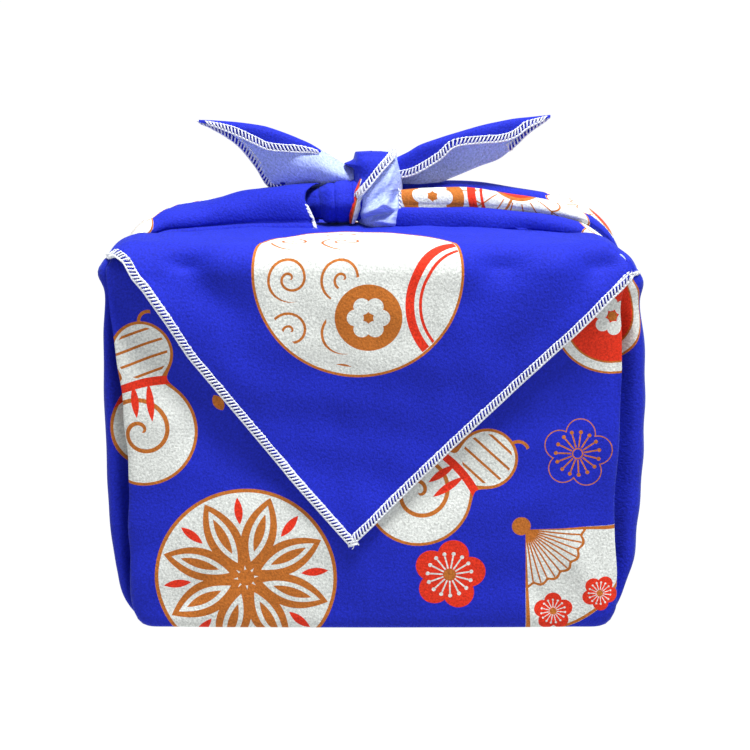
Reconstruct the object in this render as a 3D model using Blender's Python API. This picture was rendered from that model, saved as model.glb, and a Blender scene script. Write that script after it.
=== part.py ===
"""A square cloth wrapped round a box-shaped load and tied on top in one knot.

The cloth is one piece, so it is one closed solid. Lengths are in metres, +Z is
up, the front faces -Y, and the origin is the middle of the base.

The bundle is a stack of rings. Each ring has the fold down each side of the
front and back panels, and the pleat of the side cloth behind that fold. The
back corner lies over the top and hangs down the front as a pointed flap. The
side corners run up the sides and over the top as two gathered bands, and meet
in the knot. Two folded ends stand out beyond it.
"""
from collections import namedtuple

import bmesh
import bpy
import numpy as np

# Driving sizes
BUNDLE_HEIGHT = 0.163
HALF_DEPTH = 0.0685
TOP_RADIUS = 0.011
TOP_TURNS = (0, 20, 40, 60, 75, 90)
TOP_CROWN = 0.0025
PANEL_BULGE = 0.0012
FOLD_RADIUS = 0.0022
PLEAT_DEPTH = 0.0205
SIDE_HOLLOW = 0.0045
FLAP_THICKNESS = 0.0018
FLAP_CORE = (0.95, 0.94, 0.965)
SUNK = 0.004
FREE_END_THICKNESS = 0.0014
CLOTH_COLOUR = (0.030, 0.045, 0.620, 1.0)
CLOTH_ROUGHNESS = 0.85

# Steps of the bundle's rings and rows. A ring's places run from 0 at the middle
# of the front to LAST_CONTROL at the middle of a side.
LAST_CONTROL = 12
RING_STEPS = (0, 1, 2, 3, 3.6, 4.2, 4.6, 5, 5.5, 6, 7, 7.6, 8.2, 8.8, 9.4, 10, 11, 12)
FOOT_HEIGHTS = (0.0, 0.0, 0.0012, 0.004)
FOOT_INSETS = (0.030, 0.0035, 0.0010, 0.0)
WALL_HEIGHTS = (0.010, 0.018, 0.030, 0.045, 0.062, 0.080, 0.098, 0.114, 0.128, 0.138, 0.146)
TOP_FLATS = (0.010, 0.030)
RIDGE_HALF = 0.036

# Steps of the flap: its columns as places of a ring, its rows on the front face
# and its rows on the flat top. Its width is read at the two heights.
FLAP_STEPS = (0, 0.5, 1, 1.5, 2, 2.5, 3, 3.6, 4.2, 4.7, 5.2, 6, 7.5, 8.8)
FLAP_FRONT_ROWS = 12
FLAP_FLATS = (0.010, 0.022, 0.034, 0.0455)
TIP_HEIGHT = 0.05
FLAP_MID_HEIGHT = 0.100

# A ring's control points from the middle of a panel to the middle of a side.
# Each lies across at shares of the fold's and the pleat's half widths and of
# the tuck, and some way on, and deep behind the panel.
Control = namedtuple("Control", "fold pleat tuck on deep")
CONTROLS = (
    Control(0.00, 0.00, 0.0, 0.0000, -PANEL_BULGE),
    Control(0.42, 0.00, 0.0, 0.0000, -0.8 * PANEL_BULGE),
    Control(0.74, 0.00, 0.0, 0.0000, -0.4 * PANEL_BULGE),
    Control(1.00, 0.00, 0.0, -0.0120, 0.0),
    Control(1.00, 0.00, 0.0, -0.0035, 0.0003),
    Control(1.00, 0.00, 0.0, 0.0000, FOLD_RADIUS),
    Control(1.00, 0.00, -0.5, 0.0000, 2.1 * FOLD_RADIUS),
    Control(1.00, 0.00, -1.0, 0.0004, 3.2 * FOLD_RADIUS),
    Control(0.45, 0.55, 0.0, 0.0000, 3.9 * FOLD_RADIUS),
    Control(0.00, 1.00, 0.0, -0.0006, 0.6 * PLEAT_DEPTH),
    Control(0.00, 1.00, 0.0, 0.0000, PLEAT_DEPTH),
    Control(0.00, 1.00, 0.0, -0.0025, 0.55 * HALF_DEPTH),
    Control(0.00, 1.00, 0.0, -SIDE_HOLLOW, HALF_DEPTH),
)

# Half widths of the bundle's front and back panels at their folds, and of the
# pleats behind them, at each height. The tuck is how far each fold turns under.
Edge =namedtuple("Edge", "height left_fold left_pleat right_fold right_pleat tuck")
EDGES = (
    Edge(0.000, 0.0990, 0.1000, 0.0995, 0.1000, 0.0000),
    Edge(0.008, 0.1025, 0.1070, 0.1030, 0.1060, 0.0006),
    Edge(0.022, 0.1035, 0.1110, 0.1036, 0.1110, 0.0024),
    Edge(0.045, 0.1036, 0.1135, 0.1018, 0.1140, 0.0030),
    Edge(0.070, 0.1035, 0.1140, 0.1023, 0.1150, 0.0030),
    Edge(0.100, 0.1052, 0.1145, 0.1033, 0.1148, 0.0030),
    Edge(0.125, 0.1075, 0.1142, 0.1030, 0.1138, 0.0028),
    Edge(0.145, 0.1095, 0.1125, 0.1030, 0.1108, 0.0018),
    Edge(0.154, 0.1098, 0.1128, 0.1065, 0.1098, 0.0006),
    Edge(0.163, 0.1095, 0.1110, 0.1080, 0.1095, 0.0000),
)

# The flap's sewn edge on the front face, from its left end to its tip and on
# to its right end.
Hem = namedtuple("Hem", "across height")
HEMS = (
    Hem(-0.1140, 0.1605),
    Hem(-0.1085, 0.1598),
    Hem(-0.1055, 0.1580),
    Hem(-0.1016, 0.1540),
    Hem(-0.0972, 0.1486),
    Hem(-0.0741, 0.1146),
    Hem(-0.0349, 0.0669),
    Hem(-0.0095, 0.0380),
    Hem(0.0294, 0.0764),
    Hem(0.0740, 0.1205),
    Hem(0.0969, 0.1449),
    Hem(0.1056, 0.1540),
    Hem(0.1140, 0.1570),
)
FLAP_TIP = -0.0095
FLAP_END_DEPTH = 0.004

# Soft dents and ridges of the flap, each an oval bump turned by an angle.
Bump = namedtuple("Bump", "across distance half_long half_short turn rise")
BUMPS = (
    Bump(-0.082, 0.160, 0.015, 0.006, 12.0, -0.0016),
    Bump(-0.067, 0.149, 0.017, 0.006, -42.0, -0.0013),
    Bump(0.055, 0.158, 0.018, 0.006, 10.0, -0.0016),
    Bump(0.094, 0.158, 0.010, 0.008, 35.0, -0.0014),
    Bump(-0.052, 0.118, 0.026, 0.009, -50.0, 0.0010),
    Bump(-0.018, 0.074, 0.026, 0.011, -45.0, 0.0009),
    Bump(0.030, 0.102, 0.028, 0.010, 45.0, 0.0008),
)

# The gathered bands, from the foot of each side to the knot. Out is the
# distance from the middle, rise the height over the bundle, lean the turn of
# the band's outer side from level (0 degrees) to up (90 degrees).
Band = namedtuple("Band", "out height depth half_width rise lean")
LEFT_BAND = (
    Band(0.0990, 0.004, 0.000, 0.0500, 0.0020, 0.0),
    Band(0.1050, 0.018, 0.000, 0.0480, 0.0055, 0.0),
    Band(0.1070, 0.050, 0.000, 0.0450, 0.0068, 0.0),
    Band(0.1070, 0.100, 0.001, 0.0390, 0.0075, 0.0),
    Band(0.1060, 0.140, 0.002, 0.0330, 0.0075, 8.0),
    Band(0.1015, 0.157, 0.003, 0.0300, 0.0085, 48.0),
    Band(0.0920, 0.163, 0.004, 0.0270, 0.0100, 82.0),
    Band(0.0800, 0.164, 0.004, 0.0240, 0.0115, 90.0),
    Band(0.0580, 0.165, 0.003, 0.0205, 0.0160, 90.0),
    Band(0.0400, 0.165, 0.001, 0.0180, 0.0190, 90.0),
    Band(0.0270, 0.165, -0.001, 0.0160, 0.0200, 90.0),
)
RIGHT_BAND = (
    Band(0.0985, 0.004, 0.000, 0.0500, 0.0020, 0.0),
    Band(0.1050, 0.018, 0.000, 0.0480, 0.0055, 0.0),
    Band(0.1070, 0.050, 0.000, 0.0450, 0.0070, 0.0),
    Band(0.1070, 0.100, 0.001, 0.0390, 0.0075, 0.0),
    Band(0.1045, 0.140, 0.002, 0.0340, 0.0075, 6.0),
    Band(0.1010, 0.155, 0.003, 0.0320, 0.0085, 42.0),
    Band(0.0930, 0.162, 0.004, 0.0300, 0.0105, 72.0),
    Band(0.0840, 0.164, 0.005, 0.0280, 0.0125, 88.0),
    Band(0.0660, 0.165, 0.005, 0.0250, 0.0160, 90.0),
    Band(0.0450, 0.165, 0.004, 0.0220, 0.0190, 90.0),
    Band(0.0280, 0.165, 0.002, 0.0190, 0.0195, 90.0),
    Band(0.0080, 0.166, 0.000, 0.0140, 0.0170, 90.0),
)
BAND_SIDES = 24
BAND_SECTIONS = 26
LEFT_FOLDS = 2.0
RIGHT_FOLDS = 3.0
BAND_FOLD_RISE = 0.13
BAND_ROUNDNESS_WIDE = 0.75
BAND_ROUNDNESS_TALL = 0.85

# The knot's outer wrap, in level sections from its foot to its top. Its folds
# turn round it with the height.
Wrap = namedtuple("Wrap", "height across depth half_across half_depth")
KNOT = (
    Wrap(0.1625, 0.0020, -0.003, 0.0075, 0.0100),
    Wrap(0.1665, 0.0030, -0.004, 0.0095, 0.0125),
    Wrap(0.1730, 0.0026, -0.004, 0.0106, 0.0140),
    Wrap(0.1800, 0.0022, -0.003, 0.0108, 0.0140),
    Wrap(0.1880, 0.0022, -0.002, 0.0102, 0.0122),
    Wrap(0.1940, 0.0012, -0.001, 0.0088, 0.0095),
    Wrap(0.1980, 0.0008, 0.000, 0.0076, 0.0060),
    Wrap(0.1988, 0.0008, 0.000, 0.0060, 0.0030),
)
KNOT_SIDES = 30
KNOT_SECTIONS = 14
KNOT_FOLDS = 5
KNOT_FOLD_RISE = 0.05
KNOT_TWIST = 60.0
KNOT_LAP_TOP = (0.0083, 0.1985)
KNOT_LAP_FOOT = (-0.0055, 0.1780)
KNOT_LAP_RISE = 0.0013

# The neck of the left band, in upright sections from the band to the knot.
Neck = namedtuple("Neck", "across height depth half_height half_depth")
NECK = (
    Neck(-0.0330, 0.1740, -0.002, 0.0070, 0.0095),
    Neck(-0.0250, 0.1750, -0.004, 0.0086, 0.0110),
    Neck(-0.0165, 0.1755, -0.005, 0.0090, 0.0112),
    Neck(-0.0080, 0.1765, -0.004, 0.0090, 0.0110),
    Neck(0.0020, 0.1775, -0.002, 0.0080, 0.0090),
)
NECK_SIDES = 24
NECK_SECTIONS = 8
NECK_FOLDS = 6
NECK_FOLD_RISE = 0.07

# The free ends, in upright sections from the knot to the tip. Each is folded
# along its upper edge, with a short leaf in front and a deeper one behind.
Leaf = namedtuple("Leaf", "across height depth front_drop back_drop half_gap")
LEFT_END = (
    Leaf(-0.0020, 0.1870, 0.001, 0.0040, 0.0060, 0.0022),
    Leaf(-0.0120, 0.1905, 0.002, 0.0030, 0.0065, 0.0022),
    Leaf(-0.0193, 0.1954, 0.002, 0.0026, 0.0105, 0.0024),
    Leaf(-0.0268, 0.2003, 0.001, 0.0034, 0.0155, 0.0028),
    Leaf(-0.0396, 0.2060, -0.001, 0.0072, 0.0215, 0.0034),
    Leaf(-0.0467, 0.2085, -0.002, 0.0090, 0.0252, 0.0036),
    Leaf(-0.0524, 0.2096, -0.002, 0.0080, 0.0178, 0.0034),
    Leaf(-0.0608, 0.2106, -0.001, 0.0052, 0.0097, 0.0028),
    Leaf(-0.0709, 0.2112, 0.001, 0.0022, 0.0038, 0.0020),
    Leaf(-0.0775, 0.2113, 0.003, 0.0016, 0.0018, 0.0017),
)
RIGHT_END = (
    Leaf(0.0060, 0.1930, 0.000, 0.0070, 0.0095, 0.0030),
    Leaf(0.0148, 0.1972, -0.001, 0.0100, 0.0130, 0.0036),
    Leaf(0.0206, 0.2007, -0.002, 0.0112, 0.0160, 0.0038),
    Leaf(0.0294, 0.2038, -0.002, 0.0090, 0.0187, 0.0036),
    Leaf(0.0359, 0.2058, -0.002, 0.0056, 0.0195, 0.0032),
    Leaf(0.0471, 0.2090, -0.001, 0.0072, 0.0182, 0.0030),
    Leaf(0.0557, 0.2108, 0.000, 0.0085, 0.0168, 0.0028),
    Leaf(0.0625, 0.2120, 0.001, 0.0078, 0.0125, 0.0026),
    Leaf(0.0690, 0.2126, 0.002, 0.0040, 0.0070, 0.0022),
    Leaf(0.0784, 0.2135, 0.003, 0.0016, 0.0019, 0.0017),
)
FREE_END_SECTIONS = 20

# A free end's section: each point lies across at shares of the half gap and the
# cloth's thickness, and falls from the fold by shares of both leaves' drops, by
# some way further, and less by a share of the half gap.
Hairpin = namedtuple("Hairpin", "gap thickness front back further rise")
HAIRPIN = (
    Hairpin(-1.00, 0.0, 1.00, 0.00, 0.0, 0.00),
    Hairpin(-1.00, 0.0, 0.45, 0.00, 0.0, 0.00),
    Hairpin(-0.62, 0.0, 0.00, 0.00, 0.0, 0.00),
    Hairpin(0.00, 0.0, 0.00, 0.00, 0.0, 0.35),
    Hairpin(0.62, 0.0, 0.00, 0.00, 0.0, 0.00),
    Hairpin(1.00, 0.0, 0.00, 0.40, 0.0, 0.00),
    Hairpin(1.10, 0.0, 0.00, 0.75, 0.0, 0.00),
    Hairpin(1.00, 0.0, 0.00, 1.00, 0.0, 0.00),
    Hairpin(1.00, -1.0, 0.00, 1.00, 0.0, 0.00),
    Hairpin(1.10, -1.0, 0.00, 0.75, 0.0, 0.00),
    Hairpin(1.00, -1.0, 0.00, 0.40, 0.0004, 0.00),
    Hairpin(0.00, 0.0, 0.00, 0.00, FREE_END_THICKNESS, 0.00),
    Hairpin(-1.00, 1.0, 0.45, 0.00, 0.0008, 0.00),
    Hairpin(-1.00, 1.0, 1.00, 0.00, 0.0, 0.00),
)

# Points closer together than these are one point, and thinner faces are none.
MERGE_DISTANCE = 0.00002
THINNEST_FACE = 0.00001

# Steps by which the bundle's outward directions are found.
NUDGE = 0.0005
NUDGE_PLACE = 0.05


def column(rows, name):
    """Return one named column of a table as an array."""
    return np.array([getattr(row, name) for row in rows])


def read_smooth(rows, key, name, where):
    """Read a table's column at other places, with a cubic through its rows."""
    keys = column(rows, key)
    values = column(rows, name)
    order = np.argsort(keys)
    keys = keys[order]
    values = values[order]
    slopes = np.gradient(values, keys)
    where = np.clip(where, keys[0], keys[-1])
    left = np.clip(np.searchsorted(keys, where) - 1, 0, len(keys) - 2)
    span = keys[left + 1] - keys[left]
    part = (where - keys[left]) / span
    start = values[left] * (1 + 2 * part) * (1 - part) ** 2
    end = values[left + 1] * part ** 2 * (3 - 2 * part)
    leave = slopes[left] * span * part * (1 - part) ** 2
    arrive = slopes[left + 1] * span * part ** 2 * (part - 1)
    return start + end + leave + arrive


def read_between(rows, count):
    """Return a table's columns at evenly spaced places from its first row to
    its last, on a smooth curve through every row."""
    place = np.linspace(0, len(rows) - 1, count)
    left = np.minimum(place.astype(int), len(rows) - 2)
    part = (place - left)[:, None]
    values = np.array(rows)
    before = values[np.maximum(left - 1, 0)]
    after = values[np.minimum(left + 2, len(rows) - 1)]
    read = cubic(before, values[left], values[left + 1], after, part)
    return type(rows[0])(*read.T[:, :, None])


def cubic(before, start, end, after, part):
    """Blend four neighbouring values with a Catmull-Rom cubic."""
    return 0.5 * (
        2 * start + (end - before) * part
        + (2 * before - 5 * start + 4 * end - after) * part ** 2
        + (3 * start - before - 3 * end + after) * part ** 3
    )


def corner_points(height, is_left):
    """Return the ring's control points from the middle of a panel to the middle
    of a side, as their distances from the two middle planes."""
    side = "left" if is_left else "right"
    fold = read_smooth(EDGES, "height", side + "_fold", height)
    pleat = read_smooth(EDGES, "height", side + "_pleat", height)
    tuck = read_smooth(EDGES, "height", "tuck", height)
    across = (
        fold[:, None] * column(CONTROLS, "fold")
        + pleat[:, None] * column(CONTROLS, "pleat")
        + tuck[:, None] * column(CONTROLS, "tuck")
        + column(CONTROLS, "on")
    )
    deep = HALF_DEPTH - np.broadcast_to(column(CONTROLS, "deep"), across.shape)
    return across, deep


def spline(points, place, odd_at_start):
    """Read a uniform cubic spline through control points. Both ends are the
    middle of a symmetric outline, so the points beyond them are mirrored. One
    coordinate changes its sign beyond the start, and the other beyond the end."""
    left = np.clip(place.astype(int), 0, LAST_CONTROL - 1)
    index = left[:, None] + np.arange(-1, 3)[None, :]
    mirrored = LAST_CONTROL - np.abs(LAST_CONTROL - np.abs(index))
    near = np.take_along_axis(points, mirrored, axis=1)
    beyond = index < 0 if odd_at_start else index > LAST_CONTROL
    near = np.where(beyond, -near, near)
    return cubic(*near.T, place - left)


def ring_point(place, height, inset):
    """Return points of the bundle. Place runs from 0 at the front's middle to
    12 at a side's middle and 24 at the back's, to the left if it is negative.
    Inset draws the ring in towards the ridge in the middle of the top."""
    place, height, inset = np.broadcast_arrays(place, height, inset)
    flat_place = place.ravel().astype(float)
    flat_height = height.ravel().astype(float)
    distance = np.abs(flat_place)
    is_back = distance > LAST_CONTROL
    along = np.where(is_back, 2 * LAST_CONTROL - distance, distance)
    left_across, deep = corner_points(flat_height, True)
    right_across = corner_points(flat_height, False)[0]
    controls = np.where((flat_place < 0)[:, None], left_across, right_across)
    across = spline(controls, along, True)
    depth = spline(deep, along, False)
    widest = controls[:, LAST_CONTROL]
    flat_inset = inset.ravel()
    across = across * (widest - flat_inset) / widest
    depth = depth * (HALF_DEPTH - flat_inset) / HALF_DEPTH
    x = np.where(flat_place < 0, -across, across)
    y = np.where(is_back, depth, -depth)
    rise = TOP_CROWN * np.clip((flat_inset - TOP_RADIUS) / (HALF_DEPTH - TOP_RADIUS), 0, 1)
    z = flat_height + np.where(flat_height > BUNDLE_HEIGHT - 1e-6, rise, 0.0)
    return np.stack((x, y, z), axis=-1).reshape(place.shape + (3,))


def over_the_top(distance):
    """Turn a distance up the face, round the top edge and on over the top into
    a height and an inset."""
    face = BUNDLE_HEIGHT - TOP_RADIUS
    turn = np.clip((distance - face) / TOP_RADIUS, 0, np.pi / 2)
    beyond = np.maximum(distance - face - TOP_RADIUS * np.pi / 2, 0)
    height = np.minimum(distance, face) + TOP_RADIUS * np.sin(turn)
    inset = TOP_RADIUS * (1 - np.cos(turn)) + beyond
    return height, inset


def top_distances(flats):
    """Return the rows of points round the top edge and on the flat beyond it, as
    distances up the face and over the top."""
    turns = BUNDLE_HEIGHT - TOP_RADIUS + TOP_RADIUS * np.radians(TOP_TURNS)
    return np.concatenate((turns, turns[-1] + np.array(flats)))


def new_object(name, points, faces):
    """Make a mesh object from points and faces, with its doubles merged."""
    mesh = bpy.data.meshes.new(name)
    mesh.from_pydata(points.reshape(-1, 3).tolist(), [], faces)
    work = bmesh.new()
    work.from_mesh(mesh)
    bmesh.ops.remove_doubles(work, verts=work.verts, dist=MERGE_DISTANCE)
    bmesh.ops.dissolve_degenerate(work, edges=work.edges, dist=THINNEST_FACE)
    bmesh.ops.recalc_face_normals(work, faces=work.faces)
    work.to_mesh(mesh)
    work.free()
    mesh.shade_smooth()
    made = bpy.data.objects.new(name, mesh)
    bpy.context.scene.collection.objects.link(made)
    return made


def tube_faces(sections, sides):
    """List the quads of a closed tube of sections, without its ends."""
    faces = []
    for row in range(sections - 1):
        for side in range(sides):
            here = row * sides + side
            beside = row * sides + (side + 1) % sides
            faces.append((here, beside, beside + sides, here + sides))
    return faces


def lofted(name, sections):
    """Make a closed solid through closed sections, with a flat face at each end."""
    count, sides = sections.shape[:2]
    faces = tube_faces(count, sides)
    faces.append(tuple(range(sides)))
    faces.append(tuple(range((count - 1) * sides, count * sides)))
    return new_object(name, sections, faces)


def make_bundle():
    """Make the wrapped load from its rings, base to top. Both the base and the
    top end in a ridge line along the middle, where front and back meet."""
    front = np.array(RING_STEPS)
    half = np.concatenate((front, 2 * LAST_CONTROL - front[-2::-1]))
    places = np.concatenate((half, -half[-2:0:-1]))
    walls = np.array(WALL_HEIGHTS)
    top_height, top_inset = over_the_top(top_distances(TOP_FLATS))
    heights = np.concatenate((FOOT_HEIGHTS, walls, top_height, (BUNDLE_HEIGHT,)))
    insets = np.concatenate((FOOT_INSETS, 0 * walls, top_inset, (HALF_DEPTH,)))
    rings = ring_point(places[None, :], heights[:, None], insets[:, None])
    base_ridge = rings[:1].copy()
    top_ridge = rings[-1:].copy()
    for ridge in (base_ridge, top_ridge):
        ridge[..., 0] = np.clip(ridge[..., 0], -RIDGE_HALF, RIDGE_HALF)
        ridge[..., 1] = 0.0
    rings = np.concatenate((base_ridge, rings[:-1], top_ridge))
    return new_object("wrapping_cloth", rings, tube_faces(len(rings), len(places)))


def make_flap():
    """Make the pointed flap as a slab that follows the bundle's front and top."""
    steps = np.array(FLAP_STEPS)
    tip_place = np.interp(-FLAP_TIP, ring_point(steps, TIP_HEIGHT, 0.0)[:, 0], steps)
    places = np.sort(np.concatenate((-steps, (-tip_place,), steps[1:])))
    across = ring_point(places, FLAP_MID_HEIGHT, 0.0)[:, 0]
    low = np.interp(across, column(HEMS, "across"), column(HEMS, "height"))
    top = top_distances(FLAP_FLATS)
    turn_start = np.maximum(low + FLAP_END_DEPTH, top[0])
    part = np.linspace(0, 1, FLAP_FRONT_ROWS)[None, :-1]
    front = low[:, None] + (turn_start - low)[:, None] * part
    share = (top - top[0]) / (top[-1] - top[0])
    over = turn_start[:, None] + (top[-1] - turn_start)[:, None] * share[None, :]
    distance = np.concatenate((front, over), axis=1)
    height, inset = over_the_top(distance)
    base = ring_point(places[:, None], height, inset)
    outwards = face_normals(places, distance)
    proud = FLAP_THICKNESS + bumps(base[..., 0], distance)
    outer = base + proud[..., None] * outwards
    inner = base * FLAP_CORE
    rows, columns = distance.shape
    points = np.concatenate((outer.reshape(-1, 3), inner.reshape(-1, 3)))
    faces = []
    for row in range(rows - 1):
        for side in range(columns - 1):
            here = row * columns + side
            faces.append((here, here + 1, here + columns + 1, here + columns))
            under = here + rows * columns
            faces.append((under, under + columns, under + columns + 1, under + 1))
    rim = [row * columns for row in range(rows)]
    rim += [(rows - 1) * columns + side for side in range(1, columns)]
    rim += [row * columns + columns - 1 for row in range(rows - 2, -1, -1)]
    rim += [side for side in range(columns - 2, 0, -1)]
    for here, beside in zip(rim, rim[1:] + rim[:1]):
        faces.append((here, beside, beside + rows * columns, here + rows * columns))
    return new_object("flap", points, faces)


def bumps(across, distance):
    """Return the height of the flap's dents and ridges at places on it."""
    rise = np.zeros_like(across)
    for bump in BUMPS:
        turn = np.radians(bump.turn)
        right = across - bump.across
        up = distance - bump.distance
        along = (right * np.cos(turn) + up * np.sin(turn)) / bump.half_long
        beside = (up * np.cos(turn) - right * np.sin(turn)) / bump.half_short
        rise += bump.rise * np.exp(-along ** 2 - beside ** 2)
    return rise


def face_normals(places, distance):
    """Return the bundle's outward directions by small steps along its surface."""
    height, inset = over_the_top(distance)
    higher, further = over_the_top(distance + NUDGE)
    here = ring_point(places[:, None], height, inset)
    above = ring_point(places[:, None], higher, further)
    beside = ring_point(places[:, None] + NUDGE_PLACE, height, inset)
    outwards = np.cross(beside - here, above - here)
    return outwards / np.linalg.norm(outwards, axis=-1, keepdims=True)


def stacked(x, y, z):
    """Join the coordinates of sections into one array of points."""
    return np.stack(np.broadcast_arrays(x, y, z), axis=-1)


def around(sides):
    """Return the angles of a closed section."""
    return np.linspace(0, 2 * np.pi, sides, endpoint=False)


def make_band(name, rows, direction, folds):
    """Make a gathered band. Each section is a flattened oval that stands on the
    bundle, and ridges along it stand for its folds."""
    row = read_between(rows, BAND_SECTIONS)
    angle = around(BAND_SIDES)
    wide = np.sign(np.cos(angle)) * np.abs(np.cos(angle)) ** BAND_ROUNDNESS_WIDE
    tall = np.sign(np.sin(angle)) * np.abs(np.sin(angle)) ** BAND_ROUNDNESS_TALL
    swell = 1 + BAND_FOLD_RISE * np.cos(2 * folds * angle) * (tall > 0)
    raised = np.where(tall > 0, row.rise * tall * swell, SUNK * tall)
    lean = np.radians(row.lean)
    x = direction * (row.out + raised * np.cos(lean))
    y = row.depth + row.half_width * wide
    z = row.height + raised * np.sin(lean)
    return lofted(name, stacked(x, y, z))


def make_knot():
    """Make the knot's wrap from level ovals with a few folds round them. The
    part to the left of a slanting edge laps over the rest."""
    row = read_between(KNOT, KNOT_SECTIONS)
    angle = around(KNOT_SIDES)
    swell = 1 + KNOT_FOLD_RISE * np.cos(KNOT_FOLDS * angle + KNOT_TWIST * row.height)
    x = row.across + row.half_across * np.cos(angle) * swell
    y = row.depth + row.half_depth * np.sin(angle) * swell
    slope = (KNOT_LAP_TOP[0] - KNOT_LAP_FOOT[0]) / (KNOT_LAP_TOP[1] - KNOT_LAP_FOOT[1])
    lap = KNOT_LAP_FOOT[0] + slope * (row.height - KNOT_LAP_FOOT[1])
    y = y - KNOT_LAP_RISE * (x < lap) * (y < row.depth)
    return lofted("knot", stacked(x, y, row.height))


def make_neck():
    """Make the gathered neck between the left band and the knot."""
    row = read_between(NECK, NECK_SECTIONS)
    angle = around(NECK_SIDES)
    swell = 1 + NECK_FOLD_RISE * np.cos(NECK_FOLDS * angle)
    y = row.depth + row.half_depth * np.cos(angle) * swell
    z = row.height + row.half_height * np.sin(angle) * swell
    return lofted("neck", stacked(row.across, y, z))


def make_free_end(name, rows):
    """Make a free end from hairpin sections: down in front of the fold, over it
    and down behind."""
    row = read_between(rows, FREE_END_SECTIONS)
    gap = column(HAIRPIN, "gap")
    thickness = column(HAIRPIN, "thickness")
    y = row.depth + gap * row.half_gap + thickness * FREE_END_THICKNESS
    fall = (
        column(HAIRPIN, "front") * row.front_drop
        + column(HAIRPIN, "back") * row.back_drop
        + column(HAIRPIN, "further")
        - column(HAIRPIN, "rise") * row.half_gap
    )
    return lofted(name, stacked(row.across, y, row.height - fall))


def cloth_material():
    """Make the matt blue of the printed side."""
    material = bpy.data.materials.new("printed_cloth")
    material.use_nodes = True
    shader = material.node_tree.nodes["Principled BSDF"]
    shader.inputs["Base Color"].default_value = CLOTH_COLOUR
    shader.inputs["Roughness"].default_value = CLOTH_ROUGHNESS
    shader.inputs["Metallic"].default_value = 0.0
    return material


def join_to(body, piece):
    """Join a form to the body with a Boolean, and keep it as a hidden guide."""
    union = body.modifiers.new("join_" + piece.name, "BOOLEAN")
    union.operation = "UNION"
    union.object = piece
    piece.hide_render = True
    piece.display_type = "WIRE"


def main():
    for old in list(bpy.data.objects):
        bpy.data.objects.remove(old)
    cloth = make_bundle()
    cloth.data.materials.append(cloth_material())
    join_to(cloth, make_flap())
    join_to(cloth, make_band("left_band", LEFT_BAND, -1, LEFT_FOLDS))
    join_to(cloth, make_band("right_band", RIGHT_BAND, 1, RIGHT_FOLDS))
    join_to(cloth, make_neck())
    join_to(cloth, make_knot())
    join_to(cloth, make_free_end("left_end", LEFT_END))
    join_to(cloth, make_free_end("right_end", RIGHT_END))


main()
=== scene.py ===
"""A printed square cloth wrapped round a box-shaped load and tied on top in a knot.

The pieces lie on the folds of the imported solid: a cover over the load, the pointed flap, the
gathered bands, the knot and the two free ends, with the sewn edge wherever it shows. Lengths
are in metres, +Z is up, and the front faces -Y.
"""
from collections import namedtuple

import bmesh
import bpy
import numpy as np
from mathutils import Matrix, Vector


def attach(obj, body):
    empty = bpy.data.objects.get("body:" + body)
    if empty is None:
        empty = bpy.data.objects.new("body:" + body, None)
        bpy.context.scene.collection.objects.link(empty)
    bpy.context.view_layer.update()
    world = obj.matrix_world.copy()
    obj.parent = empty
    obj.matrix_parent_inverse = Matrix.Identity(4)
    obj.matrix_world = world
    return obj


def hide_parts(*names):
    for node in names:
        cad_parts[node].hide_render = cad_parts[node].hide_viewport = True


bl_info = {
    "name": "Wrapped and tied cloth",
    "version": (1, 0, 0),
    "blender": (4, 5, 0),
    "location": "View3D > Sidebar > Wrapping",
    "description": "Lays a printed wrapping cloth over its packed solid, with its knot and sewn edge",
    "category": "Object",
}

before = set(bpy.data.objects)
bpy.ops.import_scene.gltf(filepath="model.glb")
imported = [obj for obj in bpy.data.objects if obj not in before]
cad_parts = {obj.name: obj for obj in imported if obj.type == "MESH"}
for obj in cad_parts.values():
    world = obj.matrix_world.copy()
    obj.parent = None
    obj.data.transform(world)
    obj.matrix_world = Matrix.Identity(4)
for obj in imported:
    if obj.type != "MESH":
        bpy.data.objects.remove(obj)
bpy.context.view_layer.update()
NODE = "wrapping_cloth"


def named(kind, rows):
    """Give the values of each row their names."""
    return tuple(kind(*row) for row in rows)


# The wrapped load. Places round it run from 0 at the middle of a panel to 12 at a side's middle.
BUNDLE_HEIGHT = 0.163
HALF_DEPTH = 0.0685
TOP_RADIUS = 0.011
TOP_CROWN = 0.0025
PANEL_BULGE = 0.0012
FOLD_RADIUS = 0.0022
PLEAT_DEPTH = 0.0205
SIDE_HOLLOW = 0.0045
PANEL_END = 5.0
TUCK_PLACE = 7.3
PLEAT_PLACE = 9.0
LAST_CONTROL = 12
RIDGE_HALF = 0.036

# Half of the print's repeat
HALF_ACROSS = 0.175
HALF_UP = 0.190

# The panel's folds, the pleats beyond them and the depth of the tuck between the two
Edge = namedtuple("Edge", "height left_fold left_pleat right_fold right_pleat tuck")
EDGES = named(Edge, (
    (0.000, 0.0990, 0.1000, 0.0995, 0.1000, 0.0000),
    (0.008, 0.1025, 0.1070, 0.1030, 0.1060, 0.0006),
    (0.022, 0.1035, 0.1110, 0.1036, 0.1110, 0.0024),
    (0.045, 0.1036, 0.1135, 0.1018, 0.1140, 0.0030),
    (0.070, 0.1035, 0.1140, 0.1023, 0.1150, 0.0030),
    (0.100, 0.1052, 0.1145, 0.1033, 0.1148, 0.0030),
    (0.125, 0.1075, 0.1142, 0.1030, 0.1138, 0.0028),
    (0.145, 0.1095, 0.1125, 0.1030, 0.1108, 0.0018),
    (0.154, 0.1098, 0.1128, 0.1065, 0.1098, 0.0006),
    (0.163, 0.1095, 0.1110, 0.1080, 0.1095, 0.0000),
))

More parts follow.
